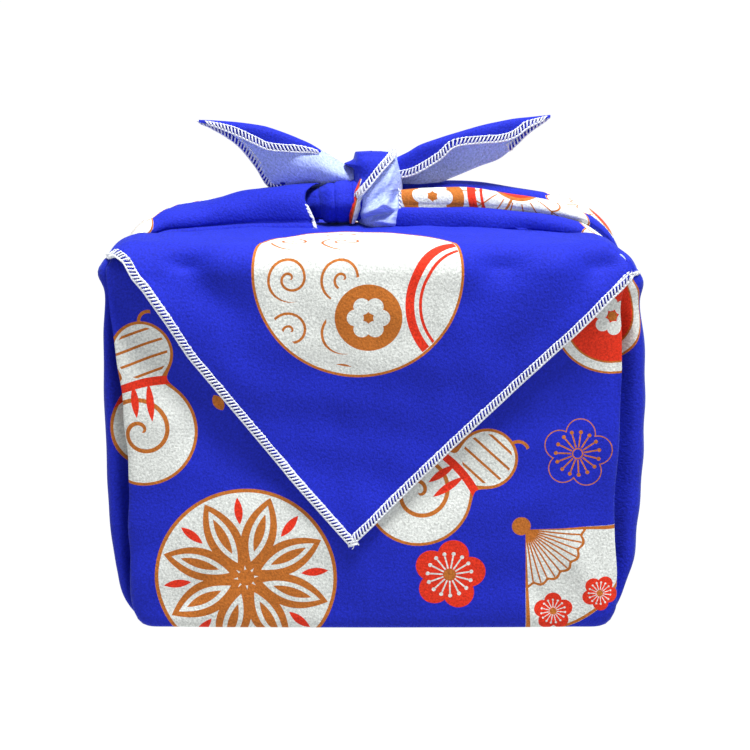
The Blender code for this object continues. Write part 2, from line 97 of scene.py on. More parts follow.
# The flap's sewn edge on the front face, left to right through its tip
Hem = namedtuple("Hem", "across height")
HEMS = named(Hem, (
    (-0.1140, 0.1565), (-0.1095, 0.1582), (-0.1055, 0.1585), (-0.1016, 0.1560),
    (-0.0935, 0.1467), (-0.0847, 0.1332), (-0.0759, 0.1186), (-0.0349, 0.0669),
    (-0.0095, 0.0380), (0.0294, 0.0764), (0.0643, 0.1109), (0.0785, 0.1241),
    (0.0925, 0.1379), (0.1040, 0.1500), (0.1080, 0.1515), (0.1140, 0.1500),
))
FLAP_TIP = -0.0095

# How far up the face and over the top the flap reaches, and how far up the print it begins
FLAP_REACH = 0.2225
FLAP_PRINT = 0.135

# Oval dents and ridges of the flap and of the panel, each turned by an angle in degrees
Bump = namedtuple("Bump", "across distance half_long half_short turn rise")
FLAP_BUMPS = named(Bump, (
    (-0.069, 0.1455, 0.019, 0.0080, -36.0, -0.0028),
    (-0.078, 0.1585, 0.009, 0.0065, -20.0, -0.0052),
    (0.053, 0.1570, 0.012, 0.0080, 0.0, -0.0054),
    (0.044, 0.1450, 0.018, 0.0090, 30.0, -0.0012),
    (0.095, 0.1575, 0.013, 0.0085, 20.0, -0.0060),
    (0.084, 0.1400, 0.016, 0.0060, 44.0, -0.0012),
    (-0.005, 0.0830, 0.060, 0.0350, 0.0, -0.0040),
    (-0.057, 0.1120, 0.026, 0.0090, -50.0, 0.0020),
    (-0.012, 0.0480, 0.030, 0.0120, 0.0, 0.0012),
    (0.070, 0.1480, 0.016, 0.0120, 60.0, 0.0016),
    (-0.098, 0.1510, 0.014, 0.0050, -48.0, 0.0026),
    (-0.087, 0.1370, 0.018, 0.0060, -54.0, 0.0022),
    (0.090, 0.1420, 0.018, 0.0060, 47.0, 0.0020),
    (0.066, 0.1180, 0.016, 0.0060, 46.0, 0.0010),
    (-0.107, 0.1760, 0.012, 0.0140, 0.0, 0.0030),
    (0.106, 0.1720, 0.012, 0.0120, 0.0, 0.0016),
))
PANEL_BUMPS = named(Bump, (
    (-0.090, 0.030, 0.026, 0.006, 62.0, 0.0016),
    (-0.078, 0.012, 0.018, 0.005, 48.0, -0.0014),
    (0.088, 0.026, 0.024, 0.006, -62.0, 0.0015),
    (0.074, 0.010, 0.018, 0.005, -46.0, -0.0014),
    (0.020, 0.040, 0.040, 0.014, 20.0, 0.0010),
    (-0.040, 0.050, 0.040, 0.012, -32.0, 0.0011),
    (0.070, 0.090, 0.030, 0.010, 60.0, 0.0011),
    (-0.090, 0.100, 0.034, 0.008, 82.0, 0.0012),
    (-0.054, 0.068, 0.034, 0.010, -49.0, -0.0018),
    (-0.0955, 0.1235, 0.030, 0.010, -53.0, -0.0036),
    (0.086, 0.104, 0.030, 0.013, 43.0, -0.0036),
    (0.026, 0.0575, 0.030, 0.010, 45.0, -0.0012),
))

# The gathered bands, from the foot of each side to the knot
Band = namedtuple("Band", "out height depth half_width rise lean")
LEFT_BAND = named(Band, (
    (0.0990, 0.004, 0.000, 0.0500, 0.0020, 0.0),
    (0.1050, 0.018, 0.000, 0.0480, 0.0055, 0.0),
    (0.1070, 0.050, 0.000, 0.0450, 0.0068, 0.0),
    (0.1070, 0.100, 0.001, 0.0390, 0.0075, 0.0),
    (0.1060, 0.140, 0.002, 0.0330, 0.0075, 8.0),
    (0.1015, 0.157, 0.003, 0.0300, 0.0085, 48.0),
    (0.0920, 0.163, 0.004, 0.0270, 0.0100, 82.0),
    (0.0800, 0.164, 0.004, 0.0240, 0.0115, 90.0),
    (0.0580, 0.165, 0.003, 0.0205, 0.0160, 90.0),
    (0.0400, 0.165, 0.001, 0.0180, 0.0190, 90.0),
    (0.0250, 0.165, -0.001, 0.0165, 0.0202, 90.0),
))
RIGHT_BAND = named(Band, (
    (0.0985, 0.004, 0.000, 0.0500, 0.0020, 0.0),
    (0.1050, 0.018, 0.000, 0.0480, 0.0055, 0.0),
    (0.1070, 0.050, 0.000, 0.0450, 0.0070, 0.0),
    (0.1070, 0.100, 0.001, 0.0390, 0.0075, 0.0),
    (0.1045, 0.140, 0.002, 0.0340, 0.0075, 6.0),
    (0.1010, 0.155, 0.003, 0.0320, 0.0085, 42.0),
    (0.0930, 0.162, 0.004, 0.0300, 0.0105, 72.0),
    (0.0840, 0.164, 0.005, 0.0280, 0.0125, 88.0),
    (0.0660, 0.165, 0.005, 0.0250, 0.0160, 90.0),
    (0.0450, 0.165, 0.004, 0.0220, 0.0190, 90.0),
    (0.0280, 0.165, 0.002, 0.0190, 0.0195, 90.0),
    (0.0080, 0.166, 0.000, 0.0140, 0.0170, 90.0),
))

# The folds across a band, from its front edge over to its back. End is the angle at which a
# fold ends, depth the groove before the next one, and the rest places the print on it. The
# arch begins a little under the level, and each of its degrees has a part of a column.
ARCH_START = -20.0
COLUMNS_A_DEGREE = 0.36
Fold = namedtuple("Fold", "end depth across up turn")
LEFT_FOLDS = named(Fold, (
    (8.0, 0.10, -0.118, 0.166, 90.0),
    (112.0, 0.26, 0.045, 0.172, 90.0),
    (150.0, 0.26, -0.070, 0.262, 84.0),
    (195.0, 0.10, -0.118, 0.175, 90.0),
))
RIGHT_FOLDS = named(Fold, (
    (34.0, 0.24, 0.027, 0.183, 90.0),
    (80.0, 0.24, 0.1444, 0.266, 90.0),
    (116.0, 0.26, 0.040, 0.186, 90.0),
    (195.0, 0.12, -0.118, 0.175, 90.0),
))

# How far the left band's open end reaches towards the knot at each angle of its arch
RollEnd = namedtuple("RollEnd", "angle shift")
ROLL_END = named(RollEnd, (
    (-20.0, 0.0010), (0.0, 0.0000), (14.0, -0.0016), (28.0, -0.0036),
    (42.0, -0.0050), (58.0, -0.0048), (74.0, -0.0022), (92.0, 0.0012),
    (112.0, 0.0014), (195.0, 0.0),
))

# The knot's body in level sections, the folds of its front, its lap's slanting edge, and the
# neck beside it
Wrap = namedtuple("Wrap", "height across depth half_across half_depth")
KNOT = named(Wrap, (
    (0.1635, 0.0020, -0.003, 0.0075, 0.0100),
    (0.1665, 0.0030, -0.004, 0.0095, 0.0125),
    (0.1730, 0.0026, -0.004, 0.0106, 0.0140),
    (0.1800, 0.0022, -0.003, 0.0108, 0.0140),
    (0.1880, 0.0022, -0.002, 0.0102, 0.0126),
    (0.1940, 0.0014, -0.001, 0.0094, 0.0112),
    (0.1966, 0.0010, 0.000, 0.0086, 0.0084),
    (0.1976, 0.0010, 0.000, 0.0082, 0.0066),
))
KNOT_BUMPS = named(Bump, (
    (-0.0010, 0.1736, 0.0078, 0.0014, 28.0, 0.0034),
    (0.0066, 0.1752, 0.0030, 0.0013, -38.0, 0.0030),
    (0.0024, 0.1710, 0.0064, 0.0013, 14.0, -0.0046),
    (0.0094, 0.1780, 0.0046, 0.0018, 72.0, -0.0046),
    (0.0062, 0.1845, 0.0080, 0.0012, 66.0, 0.0014),
    (0.0028, 0.1800, 0.0060, 0.0015, 44.0, -0.0018),
    (0.0058, 0.1680, 0.0060, 0.0014, -18.0, 0.0016),
))
LAP_TOP = (0.0083, 0.1976)
LAP_FOOT = (-0.0055, 0.1780)
LAP_ROWS = 120
UNSEWN_ROWS = 13
Neck = namedtuple("Neck", "across height depth half_height half_depth")
NECK = named(Neck, (
    (-0.0350, 0.1740, 0.003, 0.0056, 0.0070),
    (-0.0290, 0.1745, 0.001, 0.0062, 0.0080),
    (-0.0235, 0.1750, -0.002, 0.0072, 0.0092),
    (-0.0200, 0.1753, -0.004, 0.0086, 0.0106),
    (-0.0165, 0.1755, -0.005, 0.0090, 0.0112),
    (-0.0080, 0.1765, -0.004, 0.0092, 0.0110),
    (0.0020, 0.1775, -0.002, 0.0080, 0.0090),
))

# The free ends in upright sections from the knot to the tip: the fold along the top, the leaf
# in front of it, the deeper leaf behind it, the gap between them and the back leaf's belly
Leaf = namedtuple("Leaf", "across height depth front_drop back_drop half_gap belly")
LEFT_END = named(Leaf, (
    (-0.0020, 0.1875, 0.001, 0.0002, 0.0085, 0.0004, 0.0030),
    (-0.0120, 0.1910, 0.002, 0.0002, 0.0112, 0.0004, 0.0032),
    (-0.0193, 0.1954, 0.002, 0.0003, 0.0150, 0.0008, 0.0034),
    (-0.0268, 0.2003, 0.001, 0.0030, 0.0192, 0.0028, 0.0034),
    (-0.0330, 0.2033, 0.000, 0.0056, 0.0222, 0.0031, 0.0030),
    (-0.0396, 0.2060, -0.001, 0.0078, 0.0250, 0.0034, 0.0022),
    (-0.0467, 0.2085, -0.002, 0.0094, 0.0262, 0.0036, 0.0012),
    (-0.0524, 0.2096, -0.002, 0.0080, 0.0186, 0.0034, 0.0004),
    (-0.0608, 0.2106, -0.001, 0.0052, 0.0097, 0.0028, 0.0002),
    (-0.0709, 0.2112, 0.001, 0.0022, 0.0040, 0.0020, 0.0),
    (-0.0775, 0.2113, 0.003, 0.0010, 0.0014, 0.0012, 0.0),
))
RIGHT_END = named(Leaf, (
    (0.0060, 0.1930, 0.000, 0.0070, 0.0135, 0.0030, -0.0006),
    (0.0148, 0.1972, -0.001, 0.0100, 0.0165, 0.0036, -0.0010),
    (0.0206, 0.2007, -0.002, 0.0112, 0.0188, 0.0038, -0.0010),
    (0.0294, 0.2038, -0.002, 0.0090, 0.0202, 0.0036, -0.0008),
    (0.0359, 0.2058, -0.002, 0.0056, 0.0195, 0.0032, -0.0006),
    (0.0471, 0.2090, -0.001, 0.0072, 0.0182, 0.0030, -0.0004),
    (0.0557, 0.2108, 0.000, 0.0085, 0.0168, 0.0028, 0.0),
    (0.0625, 0.2120, 0.001, 0.0078, 0.0125, 0.0026, 0.0),
    (0.0690, 0.2126, 0.002, 0.0040, 0.0070, 0.0022, 0.0),
    (0.0784, 0.2135, 0.003, 0.0010, 0.0014, 0.0012, 0.0),
))

END_SECTIONS = 90
FRONT_COLUMNS = 22
BACK_COLUMNS = 36

# A free end's front leaf is sewn where it falls further than this, and beside a sewn edge a
# strip of this width is printed on both sides: the print at the cut edge, and painted shade
# between the stitches on the reverse
SHOWN_DROP = 0.0018
INK_AND_SHADE_STRIP = 0.0028

# The printed figures: their kind, middle and half size on the cloth, and their turn in degrees
Figure = namedtuple("Figure", "kind across up size turn")
FIGURES = named(Figure, (
    ("gourd", -0.0985, 0.1030, 0.0400, 6.0),
    ("ball", -0.0540, 0.0230, 0.0385, 28.0),
    ("gourd", 0.0325, 0.0690, 0.0390, -56.0),
    ("drum", 0.0985, 0.1350, 0.0245, -20.0),
    ("blossom_line", 0.0854, 0.0768, 0.0152, 10.0),
    ("blossom", 0.0322, 0.0245, 0.0155, 8.0),
    ("fan", 0.0640, 0.0440, 0.0470, -43.0),
    ("blossom", 0.0765, 0.0078, 0.0085, 20.0),
    ("blossom", 0.0960, 0.0163, 0.0078, -12.0),
    ("leaf", -0.0646, 0.0985, 0.0042, 30.0),
    ("roundel", -0.0064, 0.2880, 0.0435, 0.0),
    ("chrysanthemum", 0.1700, 0.0520, 0.0320, 0.0),
    ("chrysanthemum", 0.1390, 0.1930, 0.0300, 10.0),
    ("roundel", 0.1580, 0.2880, 0.0435, 0.0),
    ("chrysanthemum", -0.1505, 0.2790, 0.0350, 0.0),
    ("blossom", -0.1430, 0.1900, 0.0150, 0.0),
    ("blossom_line", 0.1500, 0.1150, 0.0130, 0.0),
))


class ClothSettings(bpy.types.PropertyGroup):
    """Colours, grain and thickness of the cloth."""
    ground: bpy.props.FloatVectorProperty(
        name="Ground", description="Colour of the printed side between the figures",
        subtype="COLOR", size=4, min=0, max=1, default=(0.0098, 0.0185, 0.410, 1.0))
    pale: bpy.props.FloatVectorProperty(
        name="White print", description="Colour of the figures' bodies",
        subtype="COLOR", size=4, min=0, max=1, default=(0.630, 0.655, 0.630, 1.0))
    ochre: bpy.props.FloatVectorProperty(
        name="Ochre print", description="Colour of the figures' lines",
        subtype="COLOR", size=4, min=0, max=1, default=(0.430, 0.130, 0.020, 1.0))
    red: bpy.props.FloatVectorProperty(
        name="Red print", description="Colour of the blossoms and cords",
        subtype="COLOR", size=4, min=0, max=1, default=(0.640, 0.030, 0.010, 1.0))
    reverse: bpy.props.FloatVectorProperty(
        name="Reverse", description="Colour of the unprinted side",
        subtype="COLOR", size=4, min=0, max=1, default=(0.360, 0.440, 0.850, 1.0))
    grain: bpy.props.FloatProperty(
        name="Grain", description="Width of one pebble of the crepe",
        unit="LENGTH", default=0.0009, min=0.0002, max=0.004, precision=5)
    grain_depth: bpy.props.FloatProperty(
        name="Grain depth", description="Height of the pebbles",
        unit="LENGTH", default=0.00030, min=0.0, max=0.001, precision=5)
    thickness: bpy.props.FloatProperty(
        name="Thickness", description="Thickness of one layer of cloth",
        unit="LENGTH", default=0.00045, min=0.0001, max=0.002, precision=5)


class SewingSettings(bpy.types.PropertyGroup):
    """Sizes and colour of the sewn edge."""
    colour: bpy.props.FloatVectorProperty(
        name="Thread", description="Colour of the sewing thread",
        subtype="COLOR", size=4, min=0, max=1, default=(0.740, 0.770, 0.840, 1.0))
    pitch: bpy.props.FloatProperty(
        name="Pitch", description="Distance from stitch to stitch",
        unit="LENGTH", default=0.00160, min=0.0008, max=0.01, precision=5)
    width: bpy.props.FloatProperty(
        name="Width", description="Depth of the stitches from the cloth's edge",
        unit="LENGTH", default=0.0029, min=0.001, max=0.02, precision=5)
    thread: bpy.props.FloatProperty(
        name="Thread radius", description="Half the thickness of the thread",
        unit="LENGTH", default=0.00034, min=0.0001, max=0.002, precision=5)


class StageSettings(bpy.types.PropertyGroup):
    """Camera, light and floor."""
    distance: bpy.props.FloatProperty(
        name="Camera distance", description="From the camera to the middle of the cloth",
        unit="LENGTH", default=0.80, min=0.3, max=5.0)
    elevation: bpy.props.FloatProperty(
        name="Elevation", description="Height of the camera above the level, as an angle",
        subtype="ANGLE", default=np.radians(11.0), min=0.0, max=1.5)
    lens: bpy.props.FloatProperty(
        name="Lens", description="Focal length in millimetres",
        default=84.62, min=20.0, max=300.0)
    key: bpy.props.FloatProperty(
        name="Key light", description="Power of the large light above the front, in watts",
        default=58.0, min=0.0, max=500.0)
    fill: bpy.props.FloatProperty(
        name="Sky", description="Strength of the surroundings overhead",
        default=0.22, min=0.0, max=5.0)


def unit(vectors):
    """Return vectors scaled to length one."""
    length = np.linalg.norm(vectors, axis=-1, keepdims=True)
    return vectors / np.maximum(length, 1e-12)


def column(rows, name):
    """Return one named column of a table."""
    return np.array([getattr(row, name) for row in rows])


def read_smooth(rows, key, name, where):
    """Read a column at other places: a cubic between neighbouring rows, with each row's slope
    taken from the rows beside it."""
    keys = column(rows, key)
    values = column(rows, name)
    slopes = np.gradient(values, keys)
    where = np.clip(where, keys[0], keys[-1])
    left = np.clip(np.searchsorted(keys, where) - 1, 0, len(keys) - 2)
    span = keys[left + 1] - keys[left]
    part = (where - keys[left]) / span
    start = values[left] * (1 + 2 * part) * (1 - part) ** 2
    end = values[left + 1] * part ** 2 * (3 - 2 * part)
    leave = slopes[left] * span * part * (1 - part) ** 2
    arrive = slopes[left + 1] * span * part ** 2 * (part - 1)
    return start + end + leave + arrive


def cubic(before, start, end, after, part):
    """Blend four neighbouring values: the Catmull-Rom cubic through start and end."""
    return 0.5 * (
        2 * start + (end - before) * part
        + (2 * before - 5 * start + 4 * end - after) * part ** 2
        + (3 * start - before - 3 * end + after) * part ** 3
    )


def read_between(rows, count):
    """Return a table's columns, each as a column of values, at evenly spaced places from its
    first row to its last, on a Catmull-Rom curve through every row."""
    place = np.linspace(0, len(rows) - 1, count)
    left = np.minimum(place.astype(int), len(rows) - 2)
    part = (place - left)[:, None]
    values = np.array(rows)
    before = values[np.maximum(left - 1, 0)]
    after = values[np.minimum(left + 2, len(rows) - 1)]
    read = cubic(before, values[left], values[left + 1], after, part)
    return type(rows[0])(*read.T[:, :, None])


def corner_points(height, side):
    """Return a ring's control points from the middle of a panel to the middle of a side, as
    distances from the two middle planes: along the panel, round its fold, in along the tuck,
    out again to the pleat, and back along the hollow side."""
    fold = read_smooth(EDGES, "height", side + "_fold", height)
    pleat = read_smooth(EDGES, "height", side + "_pleat", height)
    tuck = read_smooth(EDGES, "height", "tuck", height)
    across = (
        0 * fold, fold * 0.42, fold * 0.74, fold - 0.012, fold - 0.0035, fold,
        fold - 0.5 * tuck, fold - tuck + 0.0004, 0.45 * fold + 0.55 * pleat,
        pleat - 0.0006, pleat, pleat - 0.0025, pleat - SIDE_HOLLOW,
    )
    deep = (
        -PANEL_BULGE, -0.8 * PANEL_BULGE, -0.4 * PANEL_BULGE, 0.0, 0.0003,
        FOLD_RADIUS, 2.1 * FOLD_RADIUS, 3.2 * FOLD_RADIUS, 3.9 * FOLD_RADIUS,
        0.6 * PLEAT_DEPTH, PLEAT_DEPTH, 0.55 * HALF_DEPTH, HALF_DEPTH,
    )
    points_across = np.stack(across, axis=-1)
    return points_across, HALF_DEPTH - np.broadcast_to(deep, points_across.shape)


def along_controls(points, along, odd_at_start):
    """Read control points along their row with a Catmull-Rom cubic. Past the two ends, which
    are the middles of a symmetric outline, they repeat mirrored, and one of the two
    coordinates changes its sign there."""
    left = np.clip(along.astype(int), 0, LAST_CONTROL - 1)
    index = left[:, None] + np.arange(-1, 3)[None, :]
    mirrored = LAST_CONTROL - np.abs(LAST_CONTROL - np.abs(index))
    near = np.take_along_axis(points, mirrored, axis=1)
    turned = index < 0 if odd_at_start else index > LAST_CONTROL
    near = np.where(turned, -near, near)
    return cubic(*near.T, along - left)


def ring_point(place, height, inset):
    """Return points of the bundle. Place runs from 0 at the front's middle to 12 at a side's
    middle and 24 at the back's, to the left if it is negative: a cubic through the corner's
    control points at that height. Inset draws the ring in towards the ridge on the top."""
    place, height, inset = np.broadcast_arrays(place, height, inset)
    flat_place = place.ravel().astype(float)
    flat_height = height.ravel().astype(float)
    flat_inset = inset.ravel()
    distance = np.abs(flat_place)
    is_back = distance > LAST_CONTROL
    along = np.where(is_back, 2 * LAST_CONTROL - distance, distance)
    left_across, deep = corner_points(flat_height, "left")
    right_across = corner_points(flat_height, "right")[0]
    controls = np.where((flat_place < 0)[:, None], left_across, right_across)
    across = along_controls(controls, along, True)
    depth = along_controls(deep, along, False)
    widest = controls[:, LAST_CONTROL]
    across = across * (widest - flat_inset) / widest
    depth = depth * (HALF_DEPTH - flat_inset) / HALF_DEPTH
    x = np.where(flat_place < 0, -across, across)
    y = np.where(is_back, depth, -depth)
    rise = TOP_CROWN * np.clip((flat_inset - TOP_RADIUS) / (HALF_DEPTH - TOP_RADIUS), 0, 1)
    z = flat_height + np.where(flat_height > BUNDLE_HEIGHT - 1e-6, rise, 0.0)
    return np.stack((x, y, z), axis=-1).reshape(place.shape + (3,))


def over_the_top(distance):
    """Turn a distance up the face, round the quarter circle of the top edge and on over the
    top into a height and an inset."""
    face = BUNDLE_HEIGHT - TOP_RADIUS
    turn = np.clip((distance - face) / TOP_RADIUS, 0, np.pi / 2)
    beyond = np.maximum(distance - face - TOP_RADIUS * np.pi / 2, 0)
    height = np.minimum(distance, face) + TOP_RADIUS * np.sin(turn)
    return height, TOP_RADIUS * (1 - np.cos(turn)) + beyond


def oval_bumps(bumps, across, distance):
    """Return the summed height of oval bumps, each a bell curve of the place turned by its
    angle and divided by its half sizes."""
    rise = np.zeros(np.broadcast_shapes(across.shape, distance.shape))
    for bump in bumps:
        turn = np.radians(bump.turn)
        right = across - bump.across
        up = distance - bump.distance
        along = (right * np.cos(turn) + up * np.sin(turn)) / bump.half_long
        beside = (up * np.cos(turn) - right * np.sin(turn)) / bump.half_short
        rise = rise + bump.rise * np.exp(-along ** 2 - beside ** 2)
    return rise


def waves(across, up, size, seed):
    """Return a slow uneven waviness of about one unit: a sum of sines, each across another
    direction, with lengths near the given size."""
    draw = np.random.default_rng(seed)
    total = np.zeros(np.broadcast_shapes(np.shape(across), np.shape(up)))
    for _ in range(9):
        turn = draw.uniform(0, np.pi)
        length = size * draw.uniform(0.6, 1.8)
        start = draw.uniform(0, 2 * np.pi)
        along = across * np.cos(turn) + up * np.sin(turn)
        total = total + np.sin(2 * np.pi * along / length + start)
    return total / 3


def grid_normals(points, closed=False):
    """Return a grid's directions square to both of its own: the cross product of its two
    differences. The columns go round if the grid is closed."""
    if closed:
        wide = np.concatenate((points[:, -1:], points, points[:, :1]), axis=1)
        beside = (wide[:, 2:] - wide[:, :-2]) / 2
    else:
        beside = np.gradient(points, axis=1)
    return unit(np.cross(beside, np.gradient(points, axis=0)))


def grid_faces(rows, columns, closed=False):
    """Return the quads of a grid of points, whose columns go round if it is closed."""
    last = columns if closed else columns - 1
    row = np.arange(rows - 1)[:, None] * columns
    here = row + np.arange(last)[None, :]
    beside = row + (np.arange(last)[None, :] + 1) % columns
    return np.stack((here, beside, beside + columns, here + columns), axis=-1).reshape(-1, 4)


def turned_out(points, faces, inside):
    """Turn the faces round if they point towards the inside, summed over the whole piece."""
    corners = points.reshape(-1, 3)[faces]
    square = np.cross(corners[:, 2] - corners[:, 0], corners[:, 3] - corners[:, 1])
    middle = corners.mean(axis=1)
    if np.ndim(inside) > 1:
        inside = np.asarray(inside).reshape(-1, 3)[faces].mean(axis=1)
    return faces if np.sum(square * (middle - inside)) > 0 else faces[:, ::-1]


def weld(piece):
    """Merge the points of a piece that lie in one place, as where its ends close."""
    work = bmesh.new()
    work.from_mesh(piece.data)
    bmesh.ops.remove_doubles(work, verts=work.verts, dist=0.00001)
    work.to_mesh(piece.data)
    work.free()


def with_ends(points, past=0.0):
    """Add a row at each end of closed rows, with all its points at the end row's middle."""
    start = points[:1].mean(axis=1, keepdims=True) + 0 * points[:1]
    end = points[-1:].mean(axis=1, keepdims=True) + 0 * points[-1:]
    return np.concatenate((start, points, end + past))


def make_piece(name, points, faces, materials, cloth=None, smooth=True):
    """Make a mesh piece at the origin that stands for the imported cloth. Cloth holds the place
    of each point, or of each face's corner, on the printed cloth."""
    mesh = bpy.data.meshes.new(name)
    faces = [faces] if isinstance(faces, np.ndarray) else faces
    mesh.from_pydata(points.reshape(-1, 3).tolist(), [], sum((f.tolist() for f in faces), []))
    if cloth is not None:
        corners = np.concatenate([f.ravel() for f in faces])
        if cloth.shape[0] != len(corners) or cloth.ndim != 2:
            cloth = cloth.reshape(-1, 2)[corners]
        mesh.uv_layers.new(name="cloth").data.foreach_set("uv", cloth.ravel())
    if smooth:
        mesh.shade_smooth()
    for material in materials:
        mesh.materials.append(material)
    piece = bpy.data.objects.new(name, mesh)
    bpy.context.scene.collection.objects.link(piece)
    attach(piece, "root")
    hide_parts(NODE)
    return piece


def thicken(piece):
    """Give a sheet its thickness on its inner side, whose faces take the second material."""
    solidify = piece.modifiers.new("thickness", "SOLIDIFY")
    solidify.thickness = bpy.context.scene.wrap_cloth.thickness
    solidify.offset = -1.0
    solidify.material_offset = 1
    solidify.material_offset_rim = 1


def tubes(paths, across, radii, sides=6):
    """Return the points and faces of closed tubes, one along each path: circles square to the
    path, whose first direction is the given one, with flat ends."""
    ahead = unit(np.gradient(paths, axis=1))
    second = unit(np.cross(ahead, across))
    first = np.cross(second, ahead)
    angle = np.linspace(0, 2 * np.pi, sides, endpoint=False)[:, None]
    ring = first[:, :, None] * np.cos(angle) + second[:, :, None] * np.sin(angle)
    points = paths[:, :, None] + ring * np.asarray(radii)[None, :, None, None]
    count, steps = paths.shape[:2]
    start = (np.arange(count) * steps * sides)[:, None, None]
    walls = grid_faces(steps, sides, True)[None] + start
    caps = np.stack((np.arange(sides)[::-1], np.arange(sides) + (steps - 1) * sides))[None] + start
    return points.reshape(-1, 3), walls.reshape(-1, 4), caps.reshape(-1, sides)


def joined(parts):
    """Join the points and faces of several sets of tubes."""
    start = np.cumsum([0] + [len(part[0]) for part in parts[:-1]])
    points = np.concatenate([part[0] for part in parts])
    walls = np.concatenate([part[1] + first for part, first in zip(parts, start)])
    caps = np.concatenate([part[2] + first for part, first in zip(parts, start)])
    return points, [walls, caps]


# A stitch of the sewn edge: how far in from the edge, how far out of the cloth, and how far on
# along the edge each of its points lies, in widths, thread radii and pitches
Stitch = namedtuple("Stitch", "inward out on")
STITCH = named(Stitch, (
    (1.00, 0.5, 0.90), (0.80, 1.5, 0.74), (0.45, 1.7, 0.36),
    (0.12, 1.6, 0.0), (-0.08, 0.6, -0.10), (-0.08, -0.9, -0.10),
    (0.12, -2.4, 0.0), (0.45, -2.6, 0.36), (0.80, -2.4, 0.74),
    (1.00, -1.6, 0.90),
))


def read_at(values, length, places):
    """Read rows of three values at places along a line, given each row's length along it."""
    return np.stack([np.interp(places, length, values[:, axis]) for axis in range(3)], axis=-1)


def sewn_edge(edge, toward, out, share=1.0):
    """Return the threads of a sewn edge: a slanting stitch at every pitch that goes round the
    cloth's edge, a thread along the edge, and short loops that join the stitches' inner
    ends. Toward points into the cloth, out away from its face, and share scales the width."""
    sewing = bpy.context.scene.wrap_sewing
    length = np.concatenate(([0], np.cumsum(np.linalg.norm(np.diff(edge, axis=0), axis=1))))
    count = max(int(length[-1] / sewing.pitch), 3)
    where = np.linspace(0, length[-1], count)
    along = unit(np.gradient(edge, axis=0))
    out = unit(out - np.sum(out * along, axis=1, keepdims=True) * along)
    inward = np.cross(out, along)
    inward = inward * np.sign(np.sum(inward * toward, axis=1, keepdims=True))
    draw = np.random.default_rng(count)
    uneven = draw.normal(0, 0.045, (count, 1, 1))
    table = np.array(STITCH)[None, :, :, None]
    inward = inward * np.broadcast_to(share, len(edge))[:, None]
    place, inner, outer, ahead = (
        read_at(values, length, where)[:, None] for values in (edge, inward, out, along))
    stitch = (
        place + inner * (table[:, :, 0] + uneven) * sewing.width
        + outer * table[:, :, 1] * sewing.thread
        + ahead * (table[:, :, 2] + uneven) * sewing.pitch
    )
    radii = sewing.thread * np.array((0.5, 1, 1.15, 1.1, 1.0, 1.0, 1.1, 1.15, 1, 0.5))
    parts = [tubes(stitch, np.broadcast_to(ahead, stitch.shape), radii)]
    fine = np.linspace(0, length[-1], 3 * count)
    fine_out = read_at(out, length, fine)
    line = read_at(edge, length, fine) - read_at(inward, length, fine) * 0.07 * sewing.width
    beat = 0.7 + 0.4 * np.sin(2 * np.pi * np.arange(3 * count) / 3)
    line = line + fine_out * beat[:, None] * sewing.thread
    parts.append(tubes(line[None], fine_out[None], np.full(3 * count, 1.35 * sewing.thread)))
    loop = np.array((-0.60, -0.2, 0.2, 0.60))[None, :, None]
    bow = np.array((0.5, 1.3, 1.3, 0.5))[None, :, None]
    for face, shift in ((1.0, 0.0), (-1.0, -1.6)):
        loops = (
            place + inner * (0.94 + 0.4 * uneven) * sewing.width
            + outer * (face * bow + shift) * sewing.thread + ahead * (loop + 0.85) * sewing.pitch
        )
        parts.append(tubes(loops, np.broadcast_to(outer, loops.shape),
                           sewing.thread * np.array((0.5, 1.0, 1.0, 0.5))))
    return parts


def make_hem(name, runs):
    """Make one piece of the sewn edges along several runs."""
    parts = []
    for run in runs:
        parts += sewn_edge(*run)
    points, faces = joined(parts)
    return make_piece(name, points, faces, [thread_material()])


# Materials


class Number:
    """A number in a node tree. Plain arithmetic with it adds Math nodes: | is the larger of two
    numbers and & the smaller, and a comparison gives 1 where it holds and 0 elsewhere."""

    def __init__(self, tree, socket):
        self.tree = tree
        self.socket = socket

    def put(self, operation, *others):
        """Add a Math node with this number in its first input and the others after it."""
        node = self.tree.nodes.new("ShaderNodeMath")
        node.operation = operation
        for socket, value in zip(node.inputs, (self,) + others):
            if isinstance(value, Number):
                self.tree.links.new(value.socket, socket)
            else:
                socket.default_value = value
        return Number(self.tree, node.outputs[0])

    def __add__(self, other):
        return self.put("ADD", other)

    def __sub__(self, other):
        return self.put("SUBTRACT", other)

    def __mul__(self, other):
        return self.put("MULTIPLY", other)

    def __or__(self, other):
        return self.put("MAXIMUM", other)

    def __and__(self, other):
        return self.put("MINIMUM", other)

    def below(self, limit):
        return self.put("LESS_THAN", limit)

    def above(self, limit):
        return self.put("GREATER_THAN", limit)

    def near(self, value, width):
        """1 where the number is no further than the width from the value."""
        return self.put("COMPARE", value, width)

    def waves(self, count):
        """The size of the cosine of half of count turns of an angle."""
        return (self * (count / 2)).put("COSINE").put("ABSOLUTE")


# The inks, in the order in which a later one covers an earlier one
GROUND, WHITE, OCHRE, RED, WHITE_OVER, OCHRE_OVER = range(6)


def from_point(x, y, across, up):
    """Return the distance from a point."""
    right = x - across
    above = y - up
    return (right * right + above * above).put("SQRT")


def petals(far, angle, count):
    """Fold the plane into equal petals: along a petal's middle line, and beside it."""
    side = angle.put("WRAP", np.pi / count, -np.pi / count)
    return far * side.put("COSINE"), far * side.put("SINE")


def stamens(far, angle):
    """Fifteen fine lines out from the middle, each with a dot at its end."""
    along, beside = petals(far, angle, 15)
    line = beside.near(0.0, 0.022) & along.near(0.36, 0.18)
    return line | from_point(along, beside, 0.60, 0.0).below(0.055)


